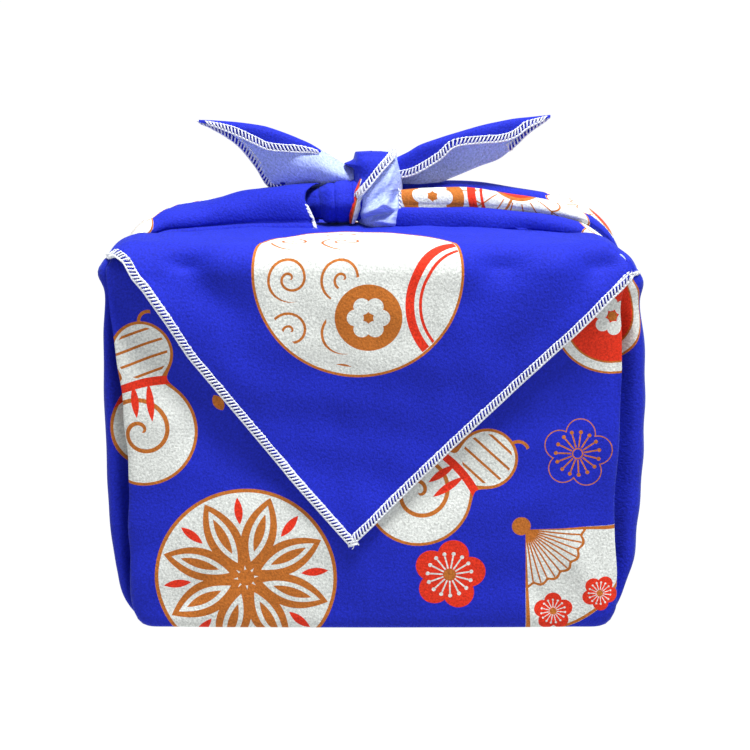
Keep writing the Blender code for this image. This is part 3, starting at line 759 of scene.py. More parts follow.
def blossom(x, y, far, angle):
    """Five round petals in red, with white stamens and an ochre middle."""
    along, beside = petals(far, angle, 5)
    body = from_point(along, beside, 0.56, 0.0).below(0.43) | far.below(0.5)
    return body * RED | stamens(far, angle) * WHITE_OVER | far.below(0.17) * OCHRE_OVER


def blossom_line(x, y, far, angle):
    """The same blossom drawn in ochre lines."""
    along, beside = petals(far, angle, 5)
    outline = from_point(along, beside, 0.56, 0.0).near(0.40, 0.015) & far.above(0.42)
    return (outline | stamens(far, angle) | far.near(0.14, 0.02)) * OCHRE


def lens(along, beside, middle, half, width):
    """A pointed oval along a petal's middle line, bounded by two parabolas."""
    off = along - middle
    return (off * off * (width / half ** 2) + beside.put("ABSOLUTE")).below(width)


def ball(x, y, far, angle):
    """A wound thread ball: eight pointed ovals in ochre on white, each with a white and a red
    one inside it, and small red ones between them."""
    along, beside = petals(far, angle, 8)
    between, aside = petals(far, angle + np.pi / 8, 8)
    inside = far.below(1.0)
    ink = inside * WHITE | far.near(0.981, 0.020) * OCHRE
    ink = ink | lens(along, beside, 0.50, 0.44, 0.185) * OCHRE
    ink = ink | lens(between, aside, 0.76, 0.15, 0.045) * RED
    ink = ink | lens(along, beside, 0.52, 0.33, 0.100) * WHITE_OVER
    middle = lens(along, beside, 0.53, 0.22, 0.050) | far.below(0.09)
    return ink | middle * OCHRE_OVER


def drum(x, y, far, angle):
    """A red disc in a white rim with an ochre outline, and a white blossom on it."""
    along, beside = petals(far, angle, 6)
    flower = from_point(along, beside, 0.21, 0.0).below(0.120)
    lines = far.near(0.982, 0.019) | far.near(0.80, 0.015)
    ink = far.below(1.0) * WHITE | far.below(0.80) * RED | flower * WHITE_OVER
    return ink | (lines | far.below(0.08)) * OCHRE_OVER


def gourd(x, y, far, angle):
    """A gourd: two circles blended into one outline, an ochre curl on the lower bulb, ochre
    bars on the upper one, a red cord round the waist with two tassels, and a bent stalk."""
    low = from_point(x, y, 0.0, -0.42)
    high = from_point(x, y, 0.10, 0.40)
    rim = (low - 0.58).put("SMOOTH_MIN", high - 0.33, 0.25)
    inside = rim.below(0.0)
    turn = (y + 0.42).put("ARCTAN2", x)
    curl = (low * 4.0 - turn * (0.5 / np.pi)).put("FRACT").below(0.18) & low.below(0.40)
    bars = (y - x * 0.25).put("WRAP", 0.075, -0.075).near(0.0, 0.014) & high.below(0.27)
    cord = (y - x * 0.18 + x * x * 0.4).near(0.075, 0.045) & inside
    tails = lens(y * -1.0, x - 0.13, 0.12, 0.20, 0.040) | lens(y * -1.0, x + 0.03, 0.10, 0.17, 0.040)
    stalk = (from_point(x, y, 0.22, 0.72).near(0.11, 0.018) & y.above(0.70)) & x.below(0.25)
    ink = inside * WHITE | (rim.near(-0.015, 0.016) | curl | bars | stalk) * OCHRE
    return ink | (cord | tails) * RED


def fan(x, y, far, angle):
    """A folding fan about its pivot: ochre ribs, a white leaf and ochre edges."""
    inside = far.below(1.0) & angle.near(0.0, 0.80)
    rib = angle.put("WRAP", 0.066, -0.066)
    ribs = (far * rib).near(0.0, 0.0075)
    guard = (angle.put("ABSOLUTE") - 0.775).near(0.0, 0.022)
    scallop = (far - angle.waves(24) * 0.035).near(0.50, 0.013) | far.near(0.985, 0.014)
    lines = (ribs & far.below(0.52)) | guard | scallop
    ink = inside * WHITE | (lines & inside) * OCHRE
    return ink | from_point(x, y, -0.05, 0.0).below(0.085) * OCHRE


def roundel(x, y, far, angle):
    """A white disc with rows of ochre curls, an ochre disc with a white blossom on it, and a
    bent red cord with a thin one beside it."""
    right = (x + 0.14).put("WRAP", 0.25, -0.25)
    up = (y + 0.05).put("WRAP", 0.25, -0.25)
    near = (right * right + up * up).put("SQRT")
    turn = up.put("ARCTAN2", right)
    curls = (near * 8.0 - turn * (0.5 / np.pi)).put("FRACT").below(0.20) & near.below(0.225)
    disc = from_point(x, y, 0.10, -0.42)
    field = curls & x.below(0.11) & far.below(0.90) & disc.above(0.40)
    disc_turn = (y + 0.42).put("ARCTAN2", x - 0.10)
    along, beside = petals(disc, disc_turn, 6)
    flower = from_point(along, beside, 0.125, 0.0).below(0.080)
    bend = from_point(x, y, 1.15, -0.30)
    cords = bend.near(0.66, 0.042) | bend.near(0.56, 0.014)
    ink = far.below(1.0) * WHITE | (far.near(0.988, 0.013) | field | disc.below(0.32)) * OCHRE
    return ink | (cords & far.below(0.97)) * RED | flower * WHITE_OVER


def chrysanthemum(x, y, far, angle):
    """Two rings of sixteen white petals with ochre outlines and a red middle."""
    lobes = angle.waves(16)
    rim = far - lobes * 0.10
    inside = rim.below(0.90)
    parting = (lobes * far).below(0.07) & far.above(0.30)
    lines = rim.near(0.885, 0.013) | (far - lobes * 0.07).near(0.52, 0.012) | parting
    ink = inside * WHITE | (lines & inside) * OCHRE | far.below(0.26) * OCHRE
    return ink | far.below(0.20) * RED


def leaf(x, y, far, angle):
    """A small ochre leaf: where two circles overlap."""
    tall = from_point(x, y, -0.45, 0.0).below(1.0) & from_point(x, y, 0.45, 0.0).below(1.0)
    return tall * OCHRE


KINDS = {kind.__name__: kind for kind in (
    blossom, blossom_line, ball, drum, gourd, fan, roundel, chrysanthemum, leaf)}


def print_group():
    """Make the print: each figure is worked out round its own middle on the cloth, wrapped to
    the repeat, turned and scaled, and the highest ink at a place shows."""
    found = bpy.data.node_groups.get("cloth_print")
    if found:
        return found
    tree = bpy.data.node_groups.new("cloth_print", "ShaderNodeTree")
    tree.interface.new_socket("Cloth", in_out="INPUT", socket_type="NodeSocketVector")
    tree.interface.new_socket("Ink", in_out="OUTPUT", socket_type="NodeSocketFloat")
    cloth = tree.nodes.new("NodeGroupInput").outputs[0]
    ink = None
    for figure in FIGURES:
        apart = add_node(tree, "VectorMath", {1: (figure.across, figure.up, 0)},
                         operation="SUBTRACT")
        wrap = add_node(tree, "VectorMath", {
            1: (HALF_ACROSS, HALF_UP, 1), 2: (-HALF_ACROSS, -HALF_UP, -1)}, operation="WRAP")
        turn = add_node(tree, "Mapping", {
            "Rotation": (0, 0, -np.radians(figure.turn)),
            "Scale": (1 / figure.size, 1 / figure.size, 0)})
        far = add_node(tree, "VectorMath", operation="LENGTH")
        split = add_node(tree, "SeparateXYZ")
        link_all(tree, (
            (cloth, apart.inputs[0]), (apart.outputs[0], wrap.inputs[0]),
            (wrap.outputs[0], turn.inputs["Vector"]), (turn.outputs[0], far.inputs[0]),
            (turn.outputs[0], split.inputs[0]),
        ))
        x = Number(tree, split.outputs[0])
        y = Number(tree, split.outputs[1])
        angle = y.put("ARCTAN2", x)
        drawn = KINDS[figure.kind](x, y, Number(tree, far.outputs["Value"]), angle)
        ink = drawn if ink is None else ink | drawn
    tree.links.new(ink.socket, tree.nodes.new("NodeGroupOutput").inputs[0])
    return tree


def set_inputs(node, values):
    """Set the values of a node's inputs by their names or numbers."""
    for name, value in values.items():
        node.inputs[name].default_value = value


def add_node(tree, kind, values=None, **own):
    """Add a shader node, with its own settings and the values of its inputs."""
    node = tree.nodes.new("ShaderNode" + kind)
    for name, value in own.items():
        setattr(node, name, value)
    set_inputs(node, values or {})
    return node


def link_all(tree, pairs):
    """Link each pair of an output and an input."""
    for start, end in pairs:
        tree.links.new(start, end)


def new_material(name):
    """Start a material and return it with its node tree and its shader."""
    material = bpy.data.materials.new(name)
    material.use_nodes = True
    return material, material.node_tree, material.node_tree.nodes["Principled BSDF"]


def add_crepe(tree, shader, colour, place):
    """Add the crepe's grain: pebbles in the bump, and a faint unevenness of the colour."""
    settings = bpy.context.scene.wrap_cloth
    grain = add_node(tree, "TexNoise", {
        "Scale": 1 / settings.grain, "Detail": 2.0, "Distortion": 0.6})
    pebbles = add_node(tree, "TexVoronoi", {"Scale": 0.8 / settings.grain}, feature="SMOOTH_F1")
    height = add_node(tree, "Math", {1: -0.6}, operation="MULTIPLY_ADD")
    bump = add_node(tree, "Bump", {"Distance": settings.grain_depth, "Strength": 0.8})
    slow = add_node(tree, "TexNoise", {"Scale": 55.0, "Detail": 3.0})
    both = add_node(tree, "Math", {1: 0.22}, operation="MULTIPLY_ADD")
    shade = add_node(tree, "MapRange", {
        "From Min": 0.42, "From Max": 0.80, "To Min": 0.76, "To Max": 1.24})
    tint = add_node(tree, "VectorMath", operation="SCALE")
    link_all(tree, (
        (place, grain.inputs["Vector"]), (place, pebbles.inputs["Vector"]),
        (place, slow.inputs["Vector"]), (pebbles.outputs["Distance"], height.inputs[0]),
        (grain.outputs["Fac"], height.inputs[2]), (height.outputs[0], bump.inputs["Height"]),
        (bump.outputs[0], shader.inputs["Normal"]), (slow.outputs["Fac"], both.inputs[0]),
        (grain.outputs["Fac"], both.inputs[2]), (both.outputs[0], shade.inputs["Value"]),
        (colour, tint.inputs[0]), (shade.outputs[0], tint.inputs["Scale"]),
        (tint.outputs[0], shader.inputs["Base Color"]),
    ))
    set_inputs(shader, {
        "Roughness": 0.75, "Specular IOR Level": 0.14, "Sheen Weight": 0.10,
        "Sheen Roughness": 0.40, "Sheen Tint": (0.55, 0.80, 1.0, 1.0)})


def printed_material():
    """The printed side: the inks' colours by their number, on crepe."""
    found = bpy.data.materials.get("printed_cloth_front")
    if found:
        return found
    settings = bpy.context.scene.wrap_cloth
    material, tree, shader = new_material("printed_cloth_front")
    place = add_node(tree, "UVMap", uv_map="cloth")
    figures = add_node(tree, "Group", node_tree=print_group())
    share = add_node(tree, "Math", {1: 1 / 6, 2: 1 / 12}, operation="MULTIPLY_ADD")
    inks = add_node(tree, "ValToRGB")
    inks.color_ramp.interpolation = "CONSTANT"
    stops = inks.color_ramp.elements
    order = (settings.ground, settings.pale, settings.ochre, settings.red, settings.pale,
             settings.ochre)
    stops[1].position = 5 / 6
    for number in range(1, 5):
        stops.new(number / 6)
    for stop, colour in zip(stops, order):
        stop.color = colour
    link_all(tree, (
        (place.outputs[0], figures.inputs[0]), (figures.outputs[0], share.inputs[0]),
        (share.outputs[0], inks.inputs[0]),
    ))
    add_crepe(tree, shader, inks.outputs["Color"], place.outputs[0])
    return material


def reverse_material():
    """The unprinted side: pale, with the same grain."""
    found = bpy.data.materials.get("printed_cloth_reverse")
    if found:
        return found
    material, tree, shader = new_material("printed_cloth_reverse")
    place = add_node(tree, "UVMap", uv_map="cloth")
    colour = add_node(tree, "RGB")
    colour.outputs[0].default_value = bpy.context.scene.wrap_cloth.reverse
    add_crepe(tree, shader, colour.outputs[0], place.outputs[0])
    return material


def thread_material():
    """Sewing thread: near white, with fine twist across it."""
    found = bpy.data.materials.get("sewing_thread")
    if found:
        return found
    colour = bpy.context.scene.wrap_sewing.colour
    material, tree, shader = new_material("sewing_thread")
    place = add_node(tree, "TexCoord")
    twist = add_node(tree, "TexNoise", {"Scale": 2600.0})
    shade = add_node(tree, "MapRange", {"To Min": 0.80, "To Max": 1.08})
    tint = add_node(tree, "VectorMath", {0: colour[:3]}, operation="SCALE")
    bump = add_node(tree, "Bump", {"Distance": 0.00008, "Strength": 0.6})
    link_all(tree, (
        (place.outputs["Object"], twist.inputs["Vector"]),
        (twist.outputs["Fac"], shade.inputs["Value"]), (shade.outputs[0], tint.inputs["Scale"]),
        (tint.outputs[0], shader.inputs["Base Color"]),
        (twist.outputs["Fac"], bump.inputs["Height"]), (bump.outputs[0], shader.inputs["Normal"]),
    ))
    set_inputs(shader, {"Roughness": 0.6, "Sheen Weight": 0.1})
    return material


def cloth_materials():
    """The two sides of the cloth."""
    return [printed_material(), reverse_material()]


# Pieces


def fine_places(counts):
    """Divide each of the first places of a ring into as many equal steps as the counts say."""
    steps = [np.linspace(place, place + 1, count, endpoint=False)
             for place, count in enumerate(counts)]
    return np.concatenate(steps + [[float(len(counts))]])


# Rings of the cover: one in the middle of the walls, and how many of them are below the top
WALL_RING = 46
RINGS_BELOW = 100

# From this place on the cover is the cloth's back, whose print runs downwards from this height
BACK_PLACE = 16.5
BACK_PRINT = 0.50


def cover_rings():
    """Return the places round the load, the rings' heights and distances, and their points.
    The rings run from the base up the walls, round the top edge and in to the top's middle."""
    half = fine_places((26, 20, 9, 7, 6, 5, 5, 5, 5, 5, 8, 12))
    half = np.concatenate((half, 2 * LAST_CONTROL - half[-2::-1]))
    places = np.concatenate((half, -half[-2:0:-1]))
    base_height = np.array((0.0, 0.0, 0.0004, 0.0014, 0.0035))
    base_inset = np.array((0.030, 0.0040, 0.0018, 0.0008, 0.0001))
    walls = np.linspace(0.0065, BUNDLE_HEIGHT - TOP_RADIUS - 0.0015, 92)
    top = np.concatenate((np.linspace(0.152, 0.1692, 14), np.linspace(0.171, 0.224, 16)))
    top_height, top_inset = over_the_top(top)
    heights = np.concatenate((base_height, walls, top_height, (BUNDLE_HEIGHT,)))
    insets = np.concatenate((base_inset, 0 * walls, top_inset, (HALF_DEPTH,)))
    distance = np.concatenate((base_height, walls, top, top[-1:] + 0.012))
    rings = ring_point(places[None, :], heights[:, None], insets[:, None])
    return places, heights, distance, rings


def print_round(rings, back):
    """Return how far round the print each place lies: the length along a ring of the walls,
    scaled so that both halves of it are half of the repeat's two widths."""
    steps = np.linalg.norm(np.diff(rings, axis=1, append=rings[:, :1]), axis=2)
    around = np.concatenate(([0], np.cumsum(steps[WALL_RING])))
    return 2 * HALF_ACROSS * np.where(
        np.arange(len(around)) <= back, around / around[back],
        1 + (around - around[back]) / (around[-1] - around[back]))


def cover_rise(places, heights, distance, rings, around):
    """Return how far the cover stands off its rings: the panel's dents and ridges, a slow
    waviness, a groove behind each fold as a bell curve of the place, the dents of the flap
    that lies on it, and at the top of each pleat an ear, a bell curve both ways."""
    from_middle = np.abs(places)
    is_front = np.clip((PANEL_END - from_middle) / 0.7, 0, 1)
    panel = oval_bumps(PANEL_BUMPS, rings[..., 0], distance[:, None])
    soft = 0.00035 * waves(around[:-1][None, :], distance[:, None], 0.030, 3)
    ends = np.clip((heights - 0.008) / 0.02, 0, 1) * np.clip((0.145 - heights) / 0.02, 0, 1)
    groove = 0.0076 * np.exp(-((from_middle - TUCK_PLACE) / 0.55) ** 2)[None, :] * ends[:, None]
    below_top = np.arange(len(heights)) < RINGS_BELOW
    fade = np.clip(distance / 0.012, 0, 1)[:, None] * below_top[:, None]
    dents = np.minimum(oval_bumps(FLAP_BUMPS, rings[..., 0], distance[:, None]), 0)
    at_pleat = np.exp(-((from_middle - PLEAT_PLACE) / 1.3) ** 2)[None, :]
    ears = 0
    for rise, height, half_height, here in (
            (0.0030, 0.1515, 0.0052, places < 0), (0.0032, 0.1475, 0.0060, places > 0)):
        bell = np.exp(-((heights - height) / half_height) ** 2)[:, None]
        ears = ears + rise * at_pleat * bell * here[None, :]
    return (panel * is_front + soft - groove) * fade + dents * (from_middle < LAST_CONTROL) + ears


def close_cover(rings, points):
    """Add a row on the ridge under the base, and turn the last row into one on the ridge of
    the top."""
    closed = np.concatenate((rings[:1], points, rings[-1:]))
    for ridge in (closed[:1], closed[-1:]):
        ridge[..., 0] = np.clip(ridge[..., 0], -RIDGE_HALF, RIDGE_HALF)
        ridge[..., 1] = 0.0
    closed[:3, :, 2] = 0.0
    return np.delete(closed, -2, axis=0)


def cover_cloth(corner, points, rings, places, back, around, distance):
    """Return the print's place at each face corner of the cover. Across the front panel it is
    the true distance from the middle, and past the folds it grows evenly to the repeat's
    edge at the back's middle. On the back the print runs downwards."""
    rows, columns = np.divmod(corner, len(places))
    wraps = np.ptp(columns, axis=1) > 1
    columns = np.where(wraps[:, None] & (columns == 0), len(places), columns)
    past = (columns > back) | ((columns == back) & (columns.max(axis=1) > back)[:, None])
    u = around[columns]
    u = np.where(past, u - 4 * HALF_ACROSS, u)
    right = np.searchsorted(places[:back + 1], PANEL_END)
    left = len(places) - right
    panel_end = np.where(past, 4 * HALF_ACROSS - around[left], around[right])
    ring = np.clip(rows - 1, 0, len(rings) - 1)
    fold_x = np.where(past, -rings[ring, left, 0], rings[ring, right, 0])
    stretch = (2 * HALF_ACROSS - fold_x) / (2 * HALF_ACROSS - panel_end)
    beyond = np.sign(u) * (fold_x + (np.abs(u) - panel_end) * stretch)
    across = points[rows, columns % len(places), 0]
    u = np.where(np.abs(u) < panel_end - 1e-6, across, beyond)
    v = np.concatenate((distance[:1] - 0.03, distance))[rows]
    from_middle = np.abs(np.append(places, 0.0)[columns]).mean(axis=1)
    v = np.where((from_middle > BACK_PLACE)[:, None], BACK_PRINT - v, v)
    return np.stack((u, v), axis=-1).reshape(-1, 2)


def make_cover():
    """Make the cloth over the load: its rings, moved out along the normals by their rise."""
    places, heights, distance, rings = cover_rings()
    back = len(places) // 2
    around = print_round(rings, back)
    normals = grid_normals(rings, True)
    if np.sum(normals[WALL_RING, :, :2] * rings[WALL_RING, :, :2]) < 0:
        normals = -normals
    rise = cover_rise(places, heights, distance, rings, around)
    points = close_cover(rings, rings + normals * rise[..., None])
    corner = grid_faces(len(points), len(places), True)
    faces = turned_out(points, corner, (0, 0, 0.08))
    cloth = cover_cloth(faces, points, rings, places, back, around, distance)
    piece = make_piece("load_cover", points, faces, [printed_material()], cloth)
    weld(piece)
    return piece


def flap_low(places):
    """Return where the flap's sewn edge crosses each place, as a distance up the face. The
    edge's table is read at the place's own distance across, found by stepping."""
    low = np.full(len(places), 0.10)
    for _ in range(12):
        height, inset = over_the_top(low)
        across = ring_point(places, height, inset)[:, 0]
        low = np.interp(across, column(HEMS, "across"), column(HEMS, "height"))
    return low


def flap_point(places, distance, low):
    """Return points of the flap: the bundle's point, moved out by the flap's height over it,
    which grows a little at the sewn edge, and by its dents and ridges."""
    height, inset = over_the_top(distance)
    base = ring_point(places, height, inset)
    nudge = 0.0005
    higher, further = over_the_top(distance + nudge)
    above = ring_point(places, higher, further)
    beside = ring_point(places + 0.05, height, inset)
    out = unit(np.cross(beside - base, above - base))
    front = np.clip((PANEL_END - np.abs(places)) / 1.4, 0, 1)
    proud = 0.0009 + 0.0004 * front + 0.0012 * front * np.exp(-(distance - low) / 0.008)
    bumps = oval_bumps(FLAP_BUMPS, base[..., 0], distance)
    front = np.maximum(front, np.clip((distance - 0.156) / 0.012, 0, 1))
    bumps = np.where(bumps > 0, bumps * front, bumps)
    proud = proud + 0.00030 * waves(base[..., 0], distance, 0.022, 8)
    proud = np.maximum(proud, 0.0008) + bumps
    return base + out * proud[..., None], out


def make_loose_thread(start):
    """Make three loose ends of thread at the flap's tip: short straight lines, each bowed
    sideways as a sine."""
    step = np.linspace(0, 1, 9)[:, None]
    ends = []
    for across, drop, bow in (
            (0.0006, -0.0022, 0.0010), (-0.0005, -0.0014, -0.0006), (0.0016, -0.0009, 0.0004)):
        ends.append(start + np.concatenate((
            across * step + bow * np.sin(np.pi * step), -0.0002 - 0.0002 * step,
            drop * step + 0.0006), axis=1))
    radii = 0.00022 * np.array((1, 1, 1, 1, 1, 1, 1, 0.9, 0.5))
    square = np.broadcast_to(np.array((0.0, 1.0, 0.0)), (3, 9, 3))
    points, faces = joined([tubes(np.stack(ends), square, radii)])
    return make_piece("loose_thread", points, faces, [thread_material()])


def make_flap():
    """Make the pointed flap: rows from its sewn edge up the face and over the top, columns at
    places of the bundle's ring, one of them through the tip. Sew its edge in two runs that
    meet at the tip and grow narrower round the load's corners."""
    half = fine_places((24, 19, 9, 7, 6, 4, 4, 4, 4, 4))
    half = np.append(half, (10.4, 10.8))
    tip = np.interp(-FLAP_TIP, ring_point(half, 0.05, 0.0)[:, 0], half)
    places = np.unique(np.concatenate((-half, half, (-tip,))))
    low = flap_low(places)
    start = np.maximum(low + 0.004, BUNDLE_HEIGHT - TOP_RADIUS)
    front = low + (start - low) * np.linspace(0, 1, 72)[:-1, None] ** 0.9
    over = np.concatenate((np.linspace(0, 0.25, 16), np.linspace(0.27, 1, 26)))[:, None]
    distance = np.concatenate((front, start + (FLAP_REACH - start) * over))
    points, out = flap_point(places[None, :], distance, low[None, :])
    cloth = np.stack((points[..., 0], distance + FLAP_PRINT), axis=-1)
    faces = turned_out(points, grid_faces(*distance.shape), (0, 0, 0.08))
    flap = make_piece("flap", points, faces, cloth_materials(), cloth)
    thicken(flap)
    inward = unit(points[3] - points[0])
    edge = points[0] + out[0] * 0.3 * bpy.context.scene.wrap_cloth.thickness
    share = np.clip((7.6 - np.abs(places)) / 2.4, 0.3, 1)
    middle = np.searchsorted(places, -tip)
    hem = make_hem("flap_hem", [
        (edge[run], inward[run], out[0, run], share[run])
        for run in (slice(None, middle + 1), slice(middle, None))])
    loose = make_loose_thread(edge[middle])


def fold_columns(folds):
    """Return the angles of a band's columns and the number of each step's fold. Every fold
    begins on the column where the last one ends."""
    angles = [np.array([ARCH_START])]
    numbers = []
    first = ARCH_START
    for number, fold in enumerate(folds):
        count = max(int((fold.end - first) * COLUMNS_A_DEGREE), 5)
        angles.append(np.linspace(first, fold.end, count + 1)[1:])
        numbers.append(np.full(count, number))
        first = fold.end
    return np.radians(np.concatenate(angles)), np.concatenate(numbers)


def band_points(rows, folds, direction, sections):
    """Return a band's points: at each row of its path an arch of angles. The arch's cosine
    goes across the band and its sine away from the bundle, and a groove lies between folds:
    the radius falls there by the fold's depth, as the root of a sine over the fold."""
    row = read_between(rows, sections)
    angle, number = fold_columns(folds)
    bounds = np.radians([ARCH_START] + [fold.end for fold in folds])
    phase = np.interp(angle, bounds, np.arange(len(bounds)))
    lobe = np.abs(np.sin(np.pi * phase)) ** 0.55
    depth = np.interp(phase - 0.5, np.arange(len(folds)), [fold.depth for fold in folds])
    radius = 1 - depth * (1 - lobe)
    grow = np.clip((np.arange(sections) / sections - 0.04) / 0.2, 0, 1)[:, None]
    radius = 1 + (radius - 1) * (0.35 + 0.65 * grow)
    wide = np.sign(np.cos(angle)) * np.abs(np.cos(angle)) ** 0.75
    tall = np.sign(np.sin(angle)) * np.abs(np.sin(angle)) ** 0.85
    raised = np.where(tall > 0, row.rise * tall * radius, 0.002 * tall)
    lean = np.radians(row.lean)
    x = direction * (row.out + raised * np.cos(lean))
    y = row.depth - row.half_width * wide * (0.25 + 0.75 * radius)
    z = row.height + raised * np.sin(lean)
    return np.stack(np.broadcast_arrays(x, y, z), axis=-1), number


def band_cloth(points, number, folds):
    """Return the print's place at each face corner of a band: the distances along and round
    it, turned and moved by the fold's own numbers."""
    along = np.cumsum(np.linalg.norm(np.diff(points, axis=0, prepend=points[:1]), axis=2), axis=0)
    along = along - along[-1:]
    round_it = np.cumsum(np.linalg.norm(np.diff(points, axis=1, prepend=points[:, :1]), axis=2),
                         axis=1)
    faces = grid_faces(*points.shape[:2])
    fold = np.tile(number, points.shape[0] - 1)
    turn = np.radians(column(folds, "turn"))[fold][:, None]
    start = np.searchsorted(number, np.arange(len(folds)))
    first = round_it.reshape(-1)[faces] - round_it[:, start].mean(axis=0)[fold][:, None]
    length = along.reshape(-1)[faces]
    u = np.cos(turn) * first - np.sin(turn) * length + column(folds, "across")[fold][:, None]
    v = np.sin(turn) * first + np.cos(turn) * length + column(folds, "up")[fold][:, None]
    return faces, np.stack((u, v), axis=-1)


def draw_out_end(points, angle, direction):
    """Shape the open end of a band in place: the last seventh of its rows reach towards the
    knot as the table says, growing with the square, and curl in where they reach furthest."""
    reach = np.clip((np.arange(len(points)) / (len(points) - 1) - 0.86) / 0.14, 0, 1)[:, None]
    shift = np.interp(np.degrees(angle), column(ROLL_END, "angle"),
                      column(ROLL_END, "shift"))[None, :]
    points[..., 0] = points[..., 0] - direction * shift * reach ** 2
    curl = 0.0024 * reach ** 4 * np.clip(-shift / 0.005, 0, 1)
    points[..., 1] += curl * np.cos(angle)[None, :]
    points[..., 2] -= curl * np.sin(angle)[None, :]


def make_band(name, rows, folds, direction, sections, open_end=False):
    """Make a gathered band as an arched sheet with a slow waviness between its ends."""
    points, number = band_points(rows, folds, direction, sections)
    if open_end:
        draw_out_end(points, fold_columns(folds)[0], direction)
    drift = 0.0004 * waves(points[..., 0] + points[..., 2], points[..., 1], 0.026, 5)
    grow = np.sin(np.linspace(0, np.pi, sections))[:, None] ** 0.5
    points = points + grid_normals(points) * (drift * grow)[..., None]
    faces, cloth = band_cloth(points, number, folds)
    inside = points.mean(axis=1, keepdims=True) * (0.96, 1.0, 0.97) + 0 * points
    out = turned_out(points, faces, inside)
    if out[0, 0] != faces[0, 0]:
        cloth = cloth[:, ::-1]
    # Both sides of a band take the printed material in place of the pale reverse: the inner side is
    # partly the printed inner layers of the gathered cloth, partly painted shade inside the band and
    # its open end.
    piece = make_piece(name, points, out, [printed_material()] * 2, cloth.reshape(-1, 2))
    thicken(piece)
    return points


def make_bands():
    """Make the left and the right band, and sew the front foot of the left one's open end."""
    points = make_band("left_band", LEFT_BAND, LEFT_FOLDS, -1, 150, open_end=True)
    foot = slice(3, 19)
    edge = points[-1, foot]
    out = edge - points[-1].mean(axis=0)
    make_hem("left_band_hem", [(edge, points[-4, foot] - edge, out, 0.26)])
    make_band("right_band", RIGHT_BAND, RIGHT_FOLDS, 1, 170)


def row_middle(row):
    """Return the middles of the knot's level sections."""
    return np.stack(np.broadcast_arrays(row.across, row.depth, row.height), axis=-1)


def knot_points(angle, row):
    """Return points of the knot's body: level ovals with a few soft folds, a crumple and a
    dimple low on its front."""
    swell = 1 + 0.030 * np.cos(5 * angle + 60 * row.height)
    x = row.across + row.half_across * np.cos(angle) * swell
    y = row.depth + row.half_depth * np.sin(angle) * swell
    front = np.clip(-np.sin(angle), 0, 1)
    crumple = oval_bumps(KNOT_BUMPS, x, row.height + 0 * x)
    return np.stack(np.broadcast_arrays(x, y - crumple * front, row.height), axis=-1)


def make_knot_body():
    """Make the knot's pale body: level rings, closed at both ends. Return the run of the sewn
    edge that shows low on its right."""
    row = read_between(KNOT, 130)
    angle = np.linspace(0, 2 * np.pi, 160, endpoint=False)
    points = knot_points(angle[None, :], row)
    closed = with_ends(points, np.array((0, 0, 0.0004)))
    faces = turned_out(closed, grid_faces(len(closed), 160, True), closed.mean(axis=(0, 1)))
    cloth = np.stack((closed[..., 0] - closed[..., 1], closed[..., 2]), axis=-1)
    body = make_piece("knot_body", closed, faces, [reverse_material()], cloth)
    weld(body)
    side = np.argmin(np.abs(angle - (2 * np.pi - 0.50)))
    low = slice(14, 56)
    out = unit(points[low, side] - row_middle(row)[low, 0])
    edge = points[low, side] + out * 0.0003
    return edge, points[low, side - 4] - edge, out, 0.6


def lap_rows():
    """Return the knot's rows from the lap's foot up, with four more that close in on its top."""
    row = read_between(KNOT, LAP_ROWS)
    first = np.searchsorted(row.height[:, 0], LAP_FOOT[1] - 0.0015)
    row = Wrap(*(values[first:] for values in row))
    shrink = np.array((0.85, 0.6, 0.35, 0.1))[:, None]
    last = Wrap(*(values[-1:] + 0 * shrink for values in row))
    last = last._replace(
        height=last.height + 0.0006 * (1 - shrink), half_across=last.half_across * shrink,
        half_depth=last.half_depth * shrink)
    return len(row.height), Wrap(*(np.concatenate(pair) for pair in zip(row, last)))


def make_lap(body_run):
    """Make the printed lap over the knot's upper left, and sew it and the body's run. Its
    columns go from its slanting edge round the left to the back. It stands off the body, most
    at that edge, with a ridge along the edge, a dimple in front and a point at the left,
    which are bell curves."""
    count, row = lap_rows()
    share = (row.height - LAP_FOOT[1]) / (LAP_TOP[1] - LAP_FOOT[1])
    edge_x = LAP_FOOT[0] + share * (LAP_TOP[0] - LAP_FOOT[0])
    edge_angle = -np.arccos(np.clip((edge_x - row.across) / row.half_across, -0.96, 0.80))
    turn = np.linspace(0, 1, 60)[None, :]
    angle = edge_angle + (-1.15 * np.pi - edge_angle) * turn
    lap = knot_points(angle, row)
    middle = row_middle(row)
    away = unit(lap - middle)
    lift = 0.0010 + 0.0010 * np.exp(-turn / 0.12) + 0 * row.height
    dimple = 0.0005 * np.exp(-((lap[..., 0] + 0.0030) / 0.0024) ** 2
                             - ((row.height - 0.1880) / 0.0022) ** 2)
    ridge = 0.0008 * np.exp(-((lap[..., 0] - edge_x + 0.0035) / 0.0011) ** 2)
    point = 0.0042 * np.exp(-((row.height - 0.1925) / 0.0012) ** 2) * np.exp(
        -((angle + np.pi) / 0.5) ** 2)
    lap = lap + away * (lift - dimple + ridge)[..., None]
    lap[..., 0] -= point
    cloth = np.stack((angle * 0.010 - 0.050, row.height + 0 * angle + 0.01), axis=-1)
    faces = turned_out(lap, grid_faces(*lap.shape[:2]), middle + 0 * lap)
    piece = make_piece("knot_lap", lap, faces, cloth_materials(), cloth)
    thicken(piece)
    sewn = slice(None, count - UNSEWN_ROWS)
    edge = lap[sewn, 0]
    out = away[sewn, 0]
    hem = make_hem("knot_hem", [
        (edge + out * 0.0002, lap[sewn, 3] - edge, out, 0.9), body_run])


